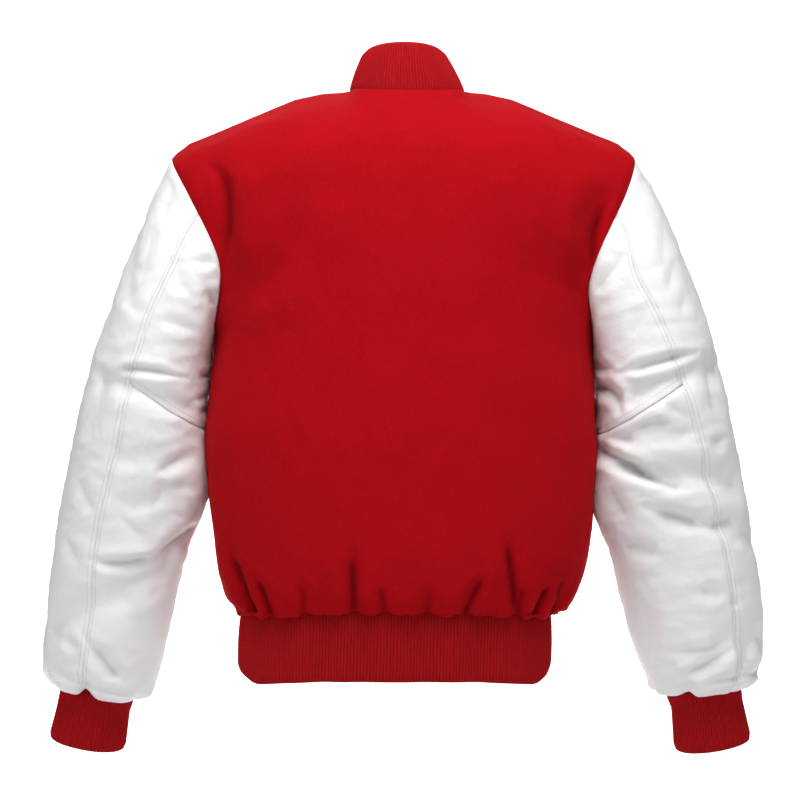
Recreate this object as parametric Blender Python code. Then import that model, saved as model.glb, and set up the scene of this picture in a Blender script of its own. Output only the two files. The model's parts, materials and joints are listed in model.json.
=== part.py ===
"""A varsity jacket, filled out as if worn: wool body, leather sleeves, rib collar, cuffs and hem band.

Metres, +Z up. The front faces -Y and the wearer's left is +X. The origin lies at the base of the neck,
between the two neck ends of the shoulder seams. Each cut piece is a wall of cloth on one shared skin,
so neighbours meet along the same seam line with a narrow gap.
"""

import math
from collections import namedtuple

import bmesh
import bpy
from mathutils import Vector

# Cloth
WOOL_WALL = 0.0025
LEATHER_WALL = 0.0020
RIB_WALL = 0.0022
SEAM_GAP = 0.00036
LEAST_FLATNESS = 0.7
LEFT, RIGHT = 1, -1
BACK, FRONT = 1, -1

# Columns and rows of the panels' grids
NECK_COLUMNS = 5
SHOULDER_COLUMNS = 10
HALF_COLUMNS = NECK_COLUMNS + SHOULDER_COLUMNS
ARMHOLE_ROWS = 10
NECK_SHARE = NECK_COLUMNS / HALF_COLUMNS

# Front closure
OVERLAP = 0.018
LAP_STEP = 0.0046
LAP_START, LAP_END = 0.052, 0.024
SNAP_COUNT = 7
TOP_SNAP_HEIGHT = -0.112
SNAP_RADIUS = 0.0075
SNAP_HEIGHT = 0.0028
SNAP_SEAT = 0.0004

# Ribs
HEM_PITCH = 0.0035
COLLAR_PITCH = 0.0031
CUFF_PITCH = 0.0031
HEM_RIB = 0.0010
FINE_RIB = 0.0008
HEM_BAND_DEPTH = 0.0735

# Neck and collar
NECK_SIDE = {LEFT: 0.0590, RIGHT: 0.0670}
NECK_SIDE_HEIGHT = -0.002
BACK_NECK_DROP = 0.009
FRONT_NECK_DROP = 0.083
NECK_CURVE = 1.8
COLLAR_TOP = 0.0425
COLLAR_FRONT_DEPTH = 0.040
COLLAR_LEAN_SIDE = {LEFT: 0.0140, RIGHT: 0.0215}
COLLAR_SIDE_DROP = 0.0075
COLLAR_LEAN_DEPTH = 0.012
COLLAR_ROUNDING = 0.012
COLLAR_BULGE = 0.0015

BodyRing = namedtuple("BodyRing", "height centre half_width back front square side_drop")
BODY_RINGS = (
    BodyRing(-0.5625, 0.0085, 0.1695, 0.112, 0.107, 2.3, 0.0135),
    BodyRing(-0.5605, 0.0060, 0.1790, 0.121, 0.116, 2.3, 0.0165),
    BodyRing(-0.5480, 0.0035, 0.1885, 0.129, 0.124, 2.35, 0.0140),
    BodyRing(-0.5210, 0.0015, 0.2000, 0.134, 0.129, 2.4, 0.007),
    BodyRing(-0.4850, 0.0010, 0.2065, 0.137, 0.132, 2.4, 0.003),
    BodyRing(-0.4420, 0.0025, 0.2115, 0.138, 0.133, 2.4, 0.0),
    BodyRing(-0.3900, 0.0030, 0.2145, 0.139, 0.134, 2.4, 0.0),
    BodyRing(-0.3400, 0.0020, 0.2110, 0.138, 0.134, 2.4, 0.0),
    BodyRing(-0.3000, 0.0015, 0.2075, 0.137, 0.132, 2.4, 0.0),
    BodyRing(-0.2720, 0.0000, 0.2000, 0.136, 0.130, 2.4, 0.0),
)
UNDERARM_FLARE = 0.0055
YOKE_ROUNDING = 9
TUCK_RING = 4
TUCK_START, TUCK_RUN = 0.12, 0.2

ArmholePoint = namedtuple("ArmholePoint", "left_x right_x depth height")
ARMHOLE_BACK = (
    ArmholePoint(0.2060, 0.2060, 0.000, -0.2720),
    ArmholePoint(0.2035, 0.2035, 0.038, -0.2600),
    ArmholePoint(0.1963, 0.1968, 0.063, -0.2270),
    ArmholePoint(0.1948, 0.2015, 0.074, -0.2000),
    ArmholePoint(0.2040, 0.2128, 0.078, -0.1715),
    ArmholePoint(0.2285, 0.2360, 0.068, -0.1240),
    ArmholePoint(0.2475, 0.2495, 0.040, -0.0900),
    ArmholePoint(0.2546, 0.2535, 0.000, -0.0748),
)
ARMHOLE_FRONT = (
    ArmholePoint(0.2060, 0.2060, 0.000, -0.2720),
    ArmholePoint(0.2020, 0.2025, -0.036, -0.2600),
    ArmholePoint(0.1930, 0.1950, -0.062, -0.2250),
    ArmholePoint(0.1990, 0.2020, -0.074, -0.1735),
    ArmholePoint(0.2220, 0.2260, -0.064, -0.1240),
    ArmholePoint(0.2450, 0.2455, -0.038, -0.0900),
    ArmholePoint(0.2546, 0.2535, 0.000, -0.0748),
)

CentrePoint = namedtuple("CentrePoint", "depth height")
BACK_CENTRE = (
    CentrePoint(0.136, -0.272),
    CentrePoint(0.134, -0.200),
    CentrePoint(0.129, -0.132),
    CentrePoint(0.114, -0.068),
    CentrePoint(0.072, -0.011),
)
FRONT_CENTRE = (
    CentrePoint(-0.130, -0.272),
    CentrePoint(-0.127, -0.222),
    CentrePoint(-0.118, -0.174),
    CentrePoint(-0.102, -0.128),
    CentrePoint(-0.078, -0.085),
)

ShoulderPoint = namedtuple("ShoulderPoint", "across height")
SHOULDER_LINE = (
    ShoulderPoint(0.0590, -0.0020),
    ShoulderPoint(0.0900, -0.0042),
    ShoulderPoint(0.1190, -0.0105),
    ShoulderPoint(0.1490, -0.0230),
    ShoulderPoint(0.1800, -0.0360),
    ShoulderPoint(0.2100, -0.0485),
    ShoulderPoint(0.2360, -0.0590),
    ShoulderPoint(0.2546, -0.0748),
)

# Sleeve sections: the outer and the inner point of each, its depth to the back and front of that line,
# how far the line stands behind the origin, its lean and its turn in degrees.
Section = namedtuple("Section", "outer_x outer_z inner_x inner_z back front behind lean turn")
SLEEVE_LEFT = (
    Section(0.2546, -0.0748, 0.2060, -0.2720, 0.078, 0.074, 0.000, 0, 0),
    Section(0.2720, -0.1120, 0.2085, -0.2790, 0.084, 0.080, 0.001, 0, -6),
    Section(0.2945, -0.1680, 0.2105, -0.3010, 0.087, 0.084, 0.003, 0, -8),
    Section(0.3165, -0.2300, 0.2150, -0.3360, 0.087, 0.084, 0.004, 0, -8),
    Section(0.3375, -0.2880, 0.2183, -0.3720, 0.084, 0.082, 0.004, 1, -7),
    Section(0.3535, -0.3500, 0.2195, -0.4120, 0.080, 0.079, 0.002, 2, -6),
    Section(0.3680, -0.4120, 0.2245, -0.4500, 0.075, 0.075, -0.002, 3, -4),
    Section(0.3815, -0.4780, 0.2400, -0.5020, 0.070, 0.069, -0.008, 4, -4),
    Section(0.3910, -0.5450, 0.2530, -0.5640, 0.065, 0.064, -0.015, 5, -6),
    Section(0.3985, -0.6070, 0.2670, -0.6260, 0.061, 0.060, -0.024, 6, -8),
    Section(0.4000, -0.6410, 0.2770, -0.6590, 0.058, 0.057, -0.030, 6, -8),
    Section(0.3920, -0.6570, 0.2860, -0.6740, 0.050, 0.049, -0.033, 6, -8),
    Section(0.3815, -0.6610, 0.3020, -0.6740, 0.038, 0.037, -0.034, 6, -8),
)
SLEEVE_RIGHT = (
    Section(0.2535, -0.0748, 0.2060, -0.2720, 0.078, 0.074, 0.000, 0, 0),
    Section(0.2745, -0.1120, 0.2080, -0.2790, 0.084, 0.080, 0.001, 0, -16),
    Section(0.2990, -0.1680, 0.2080, -0.3010, 0.087, 0.084, 0.003, 0, -13),
    Section(0.3230, -0.2300, 0.2110, -0.3370, 0.087, 0.084, 0.004, 0, -9),
    Section(0.3420, -0.2920, 0.2130, -0.3780, 0.084, 0.082, 0.004, 1, -2),
    Section(0.3570, -0.3540, 0.2125, -0.4180, 0.080, 0.079, 0.002, 2, 4),
    Section(0.3705, -0.4160, 0.2150, -0.4560, 0.075, 0.075, -0.002, 3, 8),
    Section(0.3825, -0.4800, 0.2290, -0.5060, 0.070, 0.069, -0.008, 4, 10),
    Section(0.3945, -0.5450, 0.2420, -0.5660, 0.065, 0.064, -0.015, 5, 10),
    Section(0.4000, -0.6050, 0.2600, -0.6240, 0.061, 0.060, -0.024, 6, 10),
    Section(0.3975, -0.6400, 0.2720, -0.6540, 0.058, 0.057, -0.030, 6, 10),
    Section(0.3885, -0.6570, 0.2790, -0.6680, 0.050, 0.049, -0.033, 6, 10),
    Section(0.3760, -0.6600, 0.2940, -0.6690, 0.038, 0.037, -0.034, 6, 10),
)
SLEEVES = {LEFT: SLEEVE_LEFT, RIGHT: SLEEVE_RIGHT}
SECTION_STEPS = 2
ARMHOLE_BLEND = 3.0
SLEEVE_SQUARE = 2.15
ELBOW_SECTION = 4
BACK_SEAM_COLUMN = 4
FRONT_SEAM_COLUMN = 14
SLEEVE_COLUMNS = 2 * ARMHOLE_ROWS

# Cuff ends: outer and inner point of the open end, half depth and how far it stands behind the origin.
CuffEnd = namedtuple("CuffEnd", "outer_x outer_z inner_x inner_z half_depth behind")
CUFF_WAIST = {
    LEFT: CuffEnd(0.3855, -0.6780, 0.3080, -0.6900, 0.036, -0.036),
    RIGHT: CuffEnd(0.3775, -0.6740, 0.3010, -0.6860, 0.036, -0.036),
}
CUFF_MOUTH = {
    LEFT: CuffEnd(0.3960, -0.7150, 0.3130, -0.7310, 0.038, -0.041),
    RIGHT: CuffEnd(0.3885, -0.7175, 0.3045, -0.7320, 0.038, -0.041),
}

# Gathers above the hem seam: place round the body in half turns from the centre (back positive towards the
# wearer's left), width in the same measure, depth of the trough and how high it rises.
Gather = namedtuple("Gather", "place width depth rise")
HEM_GATHERS_BACK = (
    Gather(-0.86, 0.055, 0.0045, 0.030),
    Gather(-0.70, 0.050, 0.0050, 0.045),
    Gather(-0.55, 0.060, 0.0055, 0.060),
    Gather(-0.32, 0.060, 0.0050, 0.050),
    Gather(-0.10, 0.050, 0.0030, 0.030),
    Gather(0.10, 0.050, 0.0035, 0.030),
    Gather(0.26, 0.060, 0.0055, 0.065),
    Gather(0.48, 0.050, 0.0035, 0.030),
    Gather(0.66, 0.055, 0.0050, 0.045),
    Gather(0.84, 0.060, 0.0050, 0.065),
)
HEM_GATHERS_FRONT = (
    Gather(0.20, 0.055, 0.0040, 0.045),
    Gather(0.38, 0.060, 0.0050, 0.055),
    Gather(0.55, 0.050, 0.0040, 0.040),
    Gather(0.72, 0.060, 0.0050, 0.060),
    Gather(0.88, 0.050, 0.0045, 0.040),
)

# Folds: ends as height and place (body: half turns; sleeve: degrees round and section), width and depth.
BodyFold = namedtuple("BodyFold", "from_x from_z to_x to_z width depth")
BACK_FOLDS = (
    BodyFold(0.198, -0.100, 0.190, -0.200, 0.016, -0.0045),
    BodyFold(0.172, -0.110, 0.166, -0.215, 0.018, 0.0030),
    BodyFold(-0.205, -0.130, -0.196, -0.200, 0.016, -0.0045),
    BodyFold(-0.178, -0.120, -0.172, -0.215, 0.018, 0.0030),
    BodyFold(0.122, -0.170, 0.165, -0.232, 0.020, -0.0025),
)
SleeveFold = namedtuple("SleeveFold", "from_turn from_section to_turn to_section width depth")
SLEEVE_FOLDS = {
    LEFT: (
        SleeveFold(42, 4.3, 132, 3.7, 0.012, -0.0060),
        SleeveFold(77, 5.4, 142, 4.9, 0.014, -0.0040),
        SleeveFold(27, 8.6, 142, 7.3, 0.015, -0.0065),
        SleeveFold(42, 9.6, 112, 10.2, 0.014, -0.0045),
        SleeveFold(92, 6.3, 132, 5.7, 0.014, -0.0035),
        SleeveFold(2, 1.6, 42, 2.6, 0.016, -0.0030),
        SleeveFold(282, 4.8, 182, 4.3, 0.014, -0.0055),
        SleeveFold(292, 7.4, 202, 7.0, 0.014, -0.0050),
    ),
    RIGHT: (
        SleeveFold(22, 4.2, 112, 3.6, 0.013, -0.0065),
        SleeveFold(42, 6.2, 142, 5.1, 0.014, -0.0085),
        SleeveFold(22, 7.2, 112, 6.5, 0.013, -0.0060),
        SleeveFold(32, 8.9, 82, 8.7, 0.014, -0.0040),
        SleeveFold(22, 9.9, 92, 9.8, 0.013, -0.0050),
        SleeveFold(82, 4.9, 132, 4.4, 0.013, -0.0045),
        SleeveFold(282, 5.0, 182, 4.6, 0.014, -0.0055),
        SleeveFold(292, 7.6, 202, 7.2, 0.014, -0.0050),
    ),
}
CUFF_GATHERS = 7
CUFF_GATHER_DEPTH = 0.0030

Finish = namedtuple("Finish", "color roughness metallic")
WOOL = Finish((0.42, 0.006, 0.012, 1.0), 0.9, 0.0)
LEATHER = Finish((0.86, 0.86, 0.86, 1.0), 0.42, 0.0)
RIB_KNIT = Finish((0.34, 0.010, 0.014, 1.0), 0.95, 0.0)
SNAP_PAINT = Finish((0.80, 0.80, 0.79, 1.0), 0.3, 0.0)


def lerp(a, b, share):
    return a + (b - a) * share


def smoothstep(value):
    t = min(1.0, max(0.0, value))
    return t * t * (3.0 - 2.0 * t)


def power(value, exponent):
    """A power that keeps the sign of its base."""
    return math.copysign(abs(value) ** exponent, value)


def spline(rows, at):
    """The row of a table at a fractional index, each column on its own Catmull-Rom curve."""
    last = len(rows) - 1
    at = min(float(last), max(0.0, at))
    i = min(int(at), last - 1)
    t = at - i
    near, far = rows[i], rows[i + 1]
    before = rows[i - 1] if i else [2 * a - b for a, b in zip(near, far)]
    after = rows[i + 2] if i + 2 <= last else [2 * b - a for a, b in zip(near, far)]
    values = [
        b + 0.5 * t * (c - a + t * (2 * a - 5 * b + 4 * c - d + t * (3 * (b - c) + d - a)))
        for a, b, c, d in zip(before, near, far, after)
    ]
    return type(near)(*values)


def even_steps(rows, place, samples=48):
    """A function from 0..1 to a table index, even along the curve that place draws."""
    last = len(rows) - 1
    points = [place(spline(rows, last * n / samples)) for n in range(samples + 1)]
    lengths = [0.0]
    for a, b in zip(points, points[1:]):
        lengths.append(lengths[-1] + (b - a).length)

    def index_at(share):
        target = min(1.0, max(0.0, share)) * lengths[-1]
        n = max(1, next(k for k, length in enumerate(lengths) if length >= target - 1e-9))
        inside = (target - lengths[n - 1]) / (lengths[n] - lengths[n - 1])
        return last * (n - 1 + inside) / samples

    return index_at


def armhole_place(side):
    def place(row):
        return Vector((side * (row.left_x if side == LEFT else row.right_x), row.depth, row.height))

    return place


ARMHOLES = {BACK: ARMHOLE_BACK, FRONT: ARMHOLE_FRONT}
ARMHOLE_STEPS = {
    (side, face): even_steps(rows, armhole_place(side))
    for face, rows in ARMHOLES.items()
    for side in (LEFT, RIGHT)
}


def armhole(side, face, share):
    """A point of the armhole seam, from the underarm (0) to the shoulder (1)."""
    index = ARMHOLE_STEPS[side, face](share)
    return armhole_place(side)(spline(ARMHOLES[face], index))


def shoulder_height(across):
    """Height of the shoulder line at a distance from the centre."""
    for near, far in zip(SHOULDER_LINE, SHOULDER_LINE[1:]):
        if across <= far.across:
            share = (across - near.across) / (far.across - near.across)
            return lerp(near.height, far.height, max(0.0, share))
    return SHOULDER_LINE[-1].height


def top_edge(side, face, out):
    """A point of a panel's top edge, by its share of the half width: neck curve, then shoulder seam."""
    tip = armhole(side, face, 1.0)
    if out <= NECK_SHARE:
        angle = 0.5 * math.pi * out / NECK_SHARE
        depth = (BACK_CENTRE if face == BACK else FRONT_CENTRE)[-1].depth
        drop = BACK_NECK_DROP if face == BACK else FRONT_NECK_DROP
        height = shoulder_height(NECK_SIDE[side]) - drop * max(0.0, math.cos(angle)) ** NECK_CURVE
        return Vector((side * NECK_SIDE[side] * math.sin(angle), depth * math.cos(angle), height))
    share = (out - NECK_SHARE) / (1.0 - NECK_SHARE)
    across = lerp(NECK_SIDE[side], abs(tip.x), share)
    return Vector((side * across, 0.0, shoulder_height(across)))


def tucked_front(ring, out):
    """Depth of the front: it blouses over the band at the sides and runs straight down at the closure."""
    foot, knee = BODY_RINGS[0], BODY_RINGS[TUCK_RING]
    rise = (ring.height - foot.height) / (knee.height - foot.height)
    straight = lerp(foot.front, knee.front, smoothstep(rise) if rise < 1.0 else 1.0)
    share = smoothstep((out - TUCK_START) / TUCK_RUN) if rise < 1.0 else 1.0
    return lerp(straight, ring.front, share)


def lower_body(face, place, level):
    """A point between the hem seam (level 0) and the underarm (level 1); place is -1..1 from side to side."""
    ring = spline(BODY_RINGS, level * (len(BODY_RINGS) - 1))
    angle = 0.5 * math.pi * place
    out = power(math.sin(angle), 2.0 / ring.square)
    depth = ring.back if face == BACK else -tucked_front(ring, abs(place))
    flare = UNDERARM_FLARE * smoothstep((level - 0.9) / 0.1) * power(place, 8)
    x = ring.centre + ring.half_width * out + flare
    y = depth * abs(math.cos(angle)) ** (2.0 / ring.square)
    return Vector((x, y, ring.height - ring.side_drop * abs(out) ** 3))


def upper_body(face, place, level):
    """A point between the underarm (level 0) and the top edge (level 1)."""
    side = LEFT if place >= 0 else RIGHT
    out = abs(place)
    edge = armhole(side, face, level)
    rows = BACK_CENTRE if face == BACK else FRONT_CENTRE
    centre = spline(rows, level * (len(rows) - 1))
    top = top_edge(side, face, out)
    square = BODY_RINGS[-1].square
    low_out = math.sin(0.5 * math.pi * out) ** (2.0 / square)
    tip = armhole(side, face, 1.0)
    top_out = top.x / tip.x
    across = lerp(low_out, top_out, smoothstep(level))
    flare = UNDERARM_FLARE * (1.0 - smoothstep(level / 0.25))
    x = side * ((abs(edge.x) - flare) * across + flare * out**8)
    round_share = abs(math.cos(0.5 * math.pi * out)) ** (2.0 / square)
    fall = lerp(round_share, 1.0 - across**3, smoothstep(level / 0.35))
    y = edge.y + (centre.depth - edge.y) * fall
    y += level**YOKE_ROUNDING * (top.y - rows[-1].depth * (1.0 - top_out**3))
    z = edge.z + (centre.height - edge.z) * (1.0 - across**2)
    z += level**2 * (top.z - tip.z - (rows[-1].height - tip.z) * (1.0 - top_out**2))
    return lerp(Vector((x, y, z)), top, smoothstep((level - 0.9) / 0.1))


def gather_depth(face, place, rise):
    """How far the gathers above the hem seam press the cloth in."""
    if face == BACK:
        gathers, at = HEM_GATHERS_BACK, place
    else:
        gathers, at = HEM_GATHERS_FRONT, abs(place)
    depth = 0.0
    for gather in gathers:
        across = math.exp(-(((at - gather.place) / gather.width) ** 2))
        depth += gather.depth * across * smoothstep(1.0 - rise / gather.rise)
    return depth * smoothstep(rise / 0.004)


def fold_share(point, start, end, width):
    """1 on the line from start to end, falling smoothly to 0 beside it and past its ends."""
    run = end - start
    along = min(1.0, max(0.0, (point - start).dot(run) / run.length_squared))
    distance = (point - start - run * along).length
    return math.exp(-((distance / width) ** 2))


def body_point(face, place, level):
    """A point of the body's skin: level 0 is the hem seam, 1 the underarm and 2 the top edge."""
    if level <= 1.0:
        point = lower_body(face, place, level)
        outward = Vector((point.x / 2.0, point.y, 0.0)).normalized()
        point -= outward * gather_depth(face, place, point.z - BODY_RINGS[0].height + 0.006)
    else:
        point = upper_body(face, place, level - 1.0)
    if face == BACK:
        calm = smoothstep((1.0 - abs(place)) / 0.06) * smoothstep((2.0 - level) / 0.2)
        flat = Vector((point.x, point.z))
        for fold in BACK_FOLDS:
            start, end = Vector((fold.from_x, fold.from_z)), Vector((fold.to_x, fold.to_z))
            point.y += calm * fold.depth * fold_share(flat, start, end, fold.width)
    return point


def lap(side, x):
    """How far forward the upper layer of the front closure stands at a distance from the centre line."""
    return LAP_STEP * smoothstep((LAP_START - side * x) / (LAP_START - LAP_END)) if side == LEFT else 0.0


def centre_line(level):
    return spline(BODY_RINGS, level * (len(BODY_RINGS) - 1)).centre if level < 1.0 else 0.0


def lapped(side, point, level):
    """The point on a front, stepped forward where the left front lies on the right one."""
    return point - Vector((0.0, lap(side, point.x - centre_line(level)), 0.0))


def front_at(side, column, level):
    """A point of a front: column 0 is its free edge past the centre, 1 the centre and the last the side."""
    if column > 0:
        return lapped(side, body_point(FRONT, side * (column - 1) / HALF_COLUMNS, level), level)
    near, far = 0.0, 0.25
    for _ in range(24):
        middle = 0.5 * (near + far)
        reach = abs(body_point(FRONT, -side * middle, level).x - centre_line(level))
        near, far = (middle, far) if reach < OVERLAP else (near, middle)
    return lapped(side, body_point(FRONT, -side * near, level), level)


def section_frame(section, side):
    """Centre, outward half axis and backward unit axis of a sleeve section."""
    outer = Vector((side * section.outer_x, section.behind, section.outer_z))
    inner = Vector((side * section.inner_x, section.behind, section.inner_z))
    lean = math.radians(section.lean)
    return 0.5 * (outer + inner), 0.5 * (outer - inner), Vector((0.0, math.cos(lean), -math.sin(lean)))


def section_point(section, side, degrees):
    """A point of a section: 0 is its outer point, 90 the back, 180 the inner point and 270 the front."""
    centre, outward, backward = section_frame(section, side)
    angle = math.radians(degrees)
    across = power(math.cos(angle), 2.0 / SLEEVE_SQUARE)
    deep = power(math.sin(angle), 2.0 / SLEEVE_SQUARE)
    return centre + outward * across + backward * (deep * (section.back if deep > 0 else section.front))


def sleeve_point(side, turn, at):
    """A point of a sleeve's skin; turn is 0..360 round from the outer point, at is its place in the table."""
    rows = SLEEVES[side]
    section = spline(rows, at)
    slip = section.turn * smoothstep(at / 2.0)
    point = section_point(section, side, turn - slip)
    if at < ARMHOLE_BLEND:
        share = 1.0 - turn / 180.0 if turn <= 180.0 else turn / 180.0 - 1.0
        seam = armhole(side, BACK if turn <= 180.0 else FRONT, share)
        point += (seam - section_point(rows[0], side, turn)) * (1.0 - smoothstep(at / ARMHOLE_BLEND))
    centre, _, _ = section_frame(section, side)
    outward = (point - centre).normalized()
    calm = smoothstep(at / 1.2) * smoothstep((len(rows) - 1.6 - at) / 0.8)
    girth = 0.085
    flat = Vector((math.radians(turn if turn < 330.0 else turn - 360.0) * girth, at * 0.055))
    for fold in SLEEVE_FOLDS[side]:
        start = Vector((math.radians(fold.from_turn) * girth, fold.from_section * 0.055))
        end = Vector((math.radians(fold.to_turn) * girth, fold.to_section * 0.055))
        point += outward * (calm * fold.depth * fold_share(flat, start, end, fold.width))
    last = len(rows) - 1
    pinch = smoothstep((at - last + 2.6) / 1.4) * smoothstep((last - at) / 0.5)
    wave = math.cos(math.radians(turn) * CUFF_GATHERS + 1.3 * math.sin(math.radians(2 * turn)))
    return point + outward * (CUFF_GATHER_DEPTH * pinch * wave)


def cuff_point(side, turn, share):
    """A point of a cuff's skin, from the sleeve's end (0) through the waist (0.35) to the mouth (1)."""
    rows = SLEEVES[side]
    top = sleeve_point(side, turn, len(rows) - 1)
    slip = rows[-1].turn

    def ring(end):
        depths = (end.half_depth, end.half_depth)
        section = Section(end.outer_x, end.outer_z, end.inner_x, end.inner_z, *depths, end.behind, 6, 0)
        return section_point(section, side, turn - slip)

    if share < 0.35:
        return lerp(top, ring(CUFF_WAIST[side]), share / 0.35)
    return lerp(ring(CUFF_WAIST[side]), ring(CUFF_MOUTH[side]), (share - 0.35) / 0.65)


def hem_point(face, side, column, share):
    """A point of the hem band's skin, from its seam (0) to its lower edge (1)."""
    if face == BACK:
        top = body_point(BACK, side * column / HALF_COLUMNS, 0.0)
    else:
        top = front_at(side, column, 0.0)
    foot = Vector((top.x + 0.002, top.y * 0.985, top.z - HEM_BAND_DEPTH))
    return lerp(top, foot, share)


def collar_point(side, face, out, share):
    """A point of the collar's skin above the neck edge; out is 0 at the centre and 1 at the neck side."""
    if face == BACK:
        base = body_point(BACK, side * out * NECK_SHARE, 2.0)
    else:
        base = lapped(side, body_point(FRONT, side * out * NECK_SHARE, 2.0), 2.0)
    angle = 0.5 * math.pi * out
    forward = 0.0 if face == BACK else math.cos(angle)
    neck_share = base.x / NECK_SIDE[side]
    top_height = COLLAR_TOP - COLLAR_SIDE_DROP * out**3
    lean = Vector((-COLLAR_LEAN_SIDE[side] * neck_share, -COLLAR_LEAN_DEPTH * math.cos(angle), 0.0))
    if face == FRONT:
        side_depth = COLLAR_TOP - COLLAR_SIDE_DROP - NECK_SIDE_HEIGHT
        top_height = base.z + lerp(side_depth, COLLAR_FRONT_DEPTH, forward)
        top_height -= COLLAR_ROUNDING * (1.0 - smoothstep(out / 0.22))
        lean.y = COLLAR_LEAN_DEPTH * 0.6 * forward
    top = Vector((base.x, base.y, top_height)) + lean
    bulge = Vector((neck_share, base.y / 0.07, 0.0)) * (COLLAR_BULGE * math.sin(math.pi * share))
    return lerp(base, top, share) + bulge


Panel = namedtuple("Panel", "name grid wall seams finish pitch rib wraps")


def body_levels():
    rings = len(BODY_RINGS) - 1
    return [n / rings for n in range(rings)] + [1.0 + n / ARMHOLE_ROWS for n in range(ARMHOLE_ROWS + 1)]


def back_panel():
    columns = range(-HALF_COLUMNS, HALF_COLUMNS + 1)
    grid = [[body_point(BACK, column / HALF_COLUMNS, level) for column in columns] for level in body_levels()]
    return Panel("back", grid, WOOL_WALL, "row0 row1 col0 col1", WOOL, None, 0.0, False)


def front_panel(name, side):
    columns = range(HALF_COLUMNS + 2)
    grid = [[front_at(side, column, level) for column in columns] for level in body_levels()]
    return Panel(name, grid, WOOL_WALL, "row0 row1 col1", WOOL, None, 0.0, False)


def sleeve_turn(column):
    return 360.0 * column / SLEEVE_COLUMNS


def sleeve_piece(name, side, first, last, start, end):
    """A leather piece between two lengthwise seams and two cross seams."""
    columns = range(first, last + 1)
    steps = range(round(start * SECTION_STEPS), round(end * SECTION_STEPS) + 1)
    grid = [
        [sleeve_point(side, sleeve_turn(column) % 360.0, step / SECTION_STEPS) for column in columns]
        for step in steps
    ]
    return Panel(name, grid, LEATHER_WALL, "row0 row1 col0 col1", LEATHER, None, 0.0, False)


def sleeve_pieces(side):
    word = "left" if side == LEFT else "right"
    end = len(SLEEVES[side]) - 1
    back, front = BACK_SEAM_COLUMN, FRONT_SEAM_COLUMN
    return [
        sleeve_piece(f"top_sleeve_{word}", side, front, SLEEVE_COLUMNS + back, 0, end),
        sleeve_piece(f"under_sleeve_upper_{word}", side, back, front, 0, ELBOW_SECTION),
        sleeve_piece(f"under_sleeve_lower_{word}", side, back, front, ELBOW_SECTION, end),
        cuff_panel(f"cuff_{word}", side),
    ]


def cuff_panel(name, side):
    grid = [
        [cuff_point(side, sleeve_turn(column) % 360.0, share) for column in range(SLEEVE_COLUMNS + 1)]
        for share in (0.0, 0.35, 1.0)
    ]
    return Panel(name, grid, RIB_WALL, "row0", RIB_KNIT, CUFF_PITCH, FINE_RIB, True)


def hem_panel():
    """The band runs from the right front's free edge round the back to the left front's free edge."""
    stations = [(FRONT, RIGHT, column) for column in range(HALF_COLUMNS + 1)]
    stations += [(BACK, RIGHT, HALF_COLUMNS - column) for column in range(HALF_COLUMNS)]
    stations += [(BACK, LEFT, column) for column in range(HALF_COLUMNS)]
    stations += [(FRONT, LEFT, HALF_COLUMNS + 1 - column) for column in range(HALF_COLUMNS + 2)]
    grid = [[hem_point(*station, share) for station in stations] for share in (0.0, 1.0)]
    return Panel("hem_band", grid, RIB_WALL, "row0", RIB_KNIT, HEM_PITCH, HEM_RIB, False)


def collar_panel():
    """The collar runs from the right end of the neck round the back to the left end."""
    shares = [column / NECK_COLUMNS for column in range(NECK_COLUMNS + 1)]
    stations = [(RIGHT, FRONT, share) for share in shares[:-1]]
    stations += [(RIGHT, BACK, share) for share in reversed(shares)]
    stations += [(LEFT, BACK, share) for share in shares[1:]]
    stations += [(LEFT, FRONT, share) for share in reversed(shares[:-1])]
    grid = [[collar_point(*station, share) for station in stations] for share in (0.0, 0.5, 1.0)]
    return Panel("collar", grid, RIB_WALL, "row0 ends", RIB_KNIT, COLLAR_PITCH, FINE_RIB, False)


def spot(point):
    """The same key for points of neighbouring panels that meet on a seam."""
    return tuple(round(value * 20000) for value in point)


def cell_normals(grid):
    """Each cell's corner points with its normal, facing away from the garment's inside."""
    for lower, upper in zip(grid, grid[1:]):
        for a, b, c, d in zip(lower, lower[1:], upper[1:], upper):
            yield (a, b, c, d), (c - a).cross(d - b)


def skin_normals(panels, turns):
    """At each point of the garment's skin, the mitre between the cloths that meet there.

    Each cloth's cell normals are averaged first, so that a seam's mitre bisects the angle of its two cloths.
    A mitre is longer than 1 where the cloths meet at an angle, which keeps the wall's thickness.
    """
    met = {}
    for panel in panels:
        for corners, normal in cell_normals(panel.grid):
            if normal.length > 1e-12:
                normal = normal.normalized() * turns[panel.name]
                for corner in corners:
                    met.setdefault(spot(corner), {}).setdefault(panel.finish, []).append(normal)
    normals = {}
    for key, cloths in met.items():
        means = [sum(normals_met, Vector()).normalized() for normals_met in cloths.values()]
        unit = sum(means, Vector()).normalized()
        flatness = sum(unit.dot(mean) for mean in means) / len(means)
        normals[key] = unit / max(LEAST_FLATNESS, flatness)
    return normals


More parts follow.
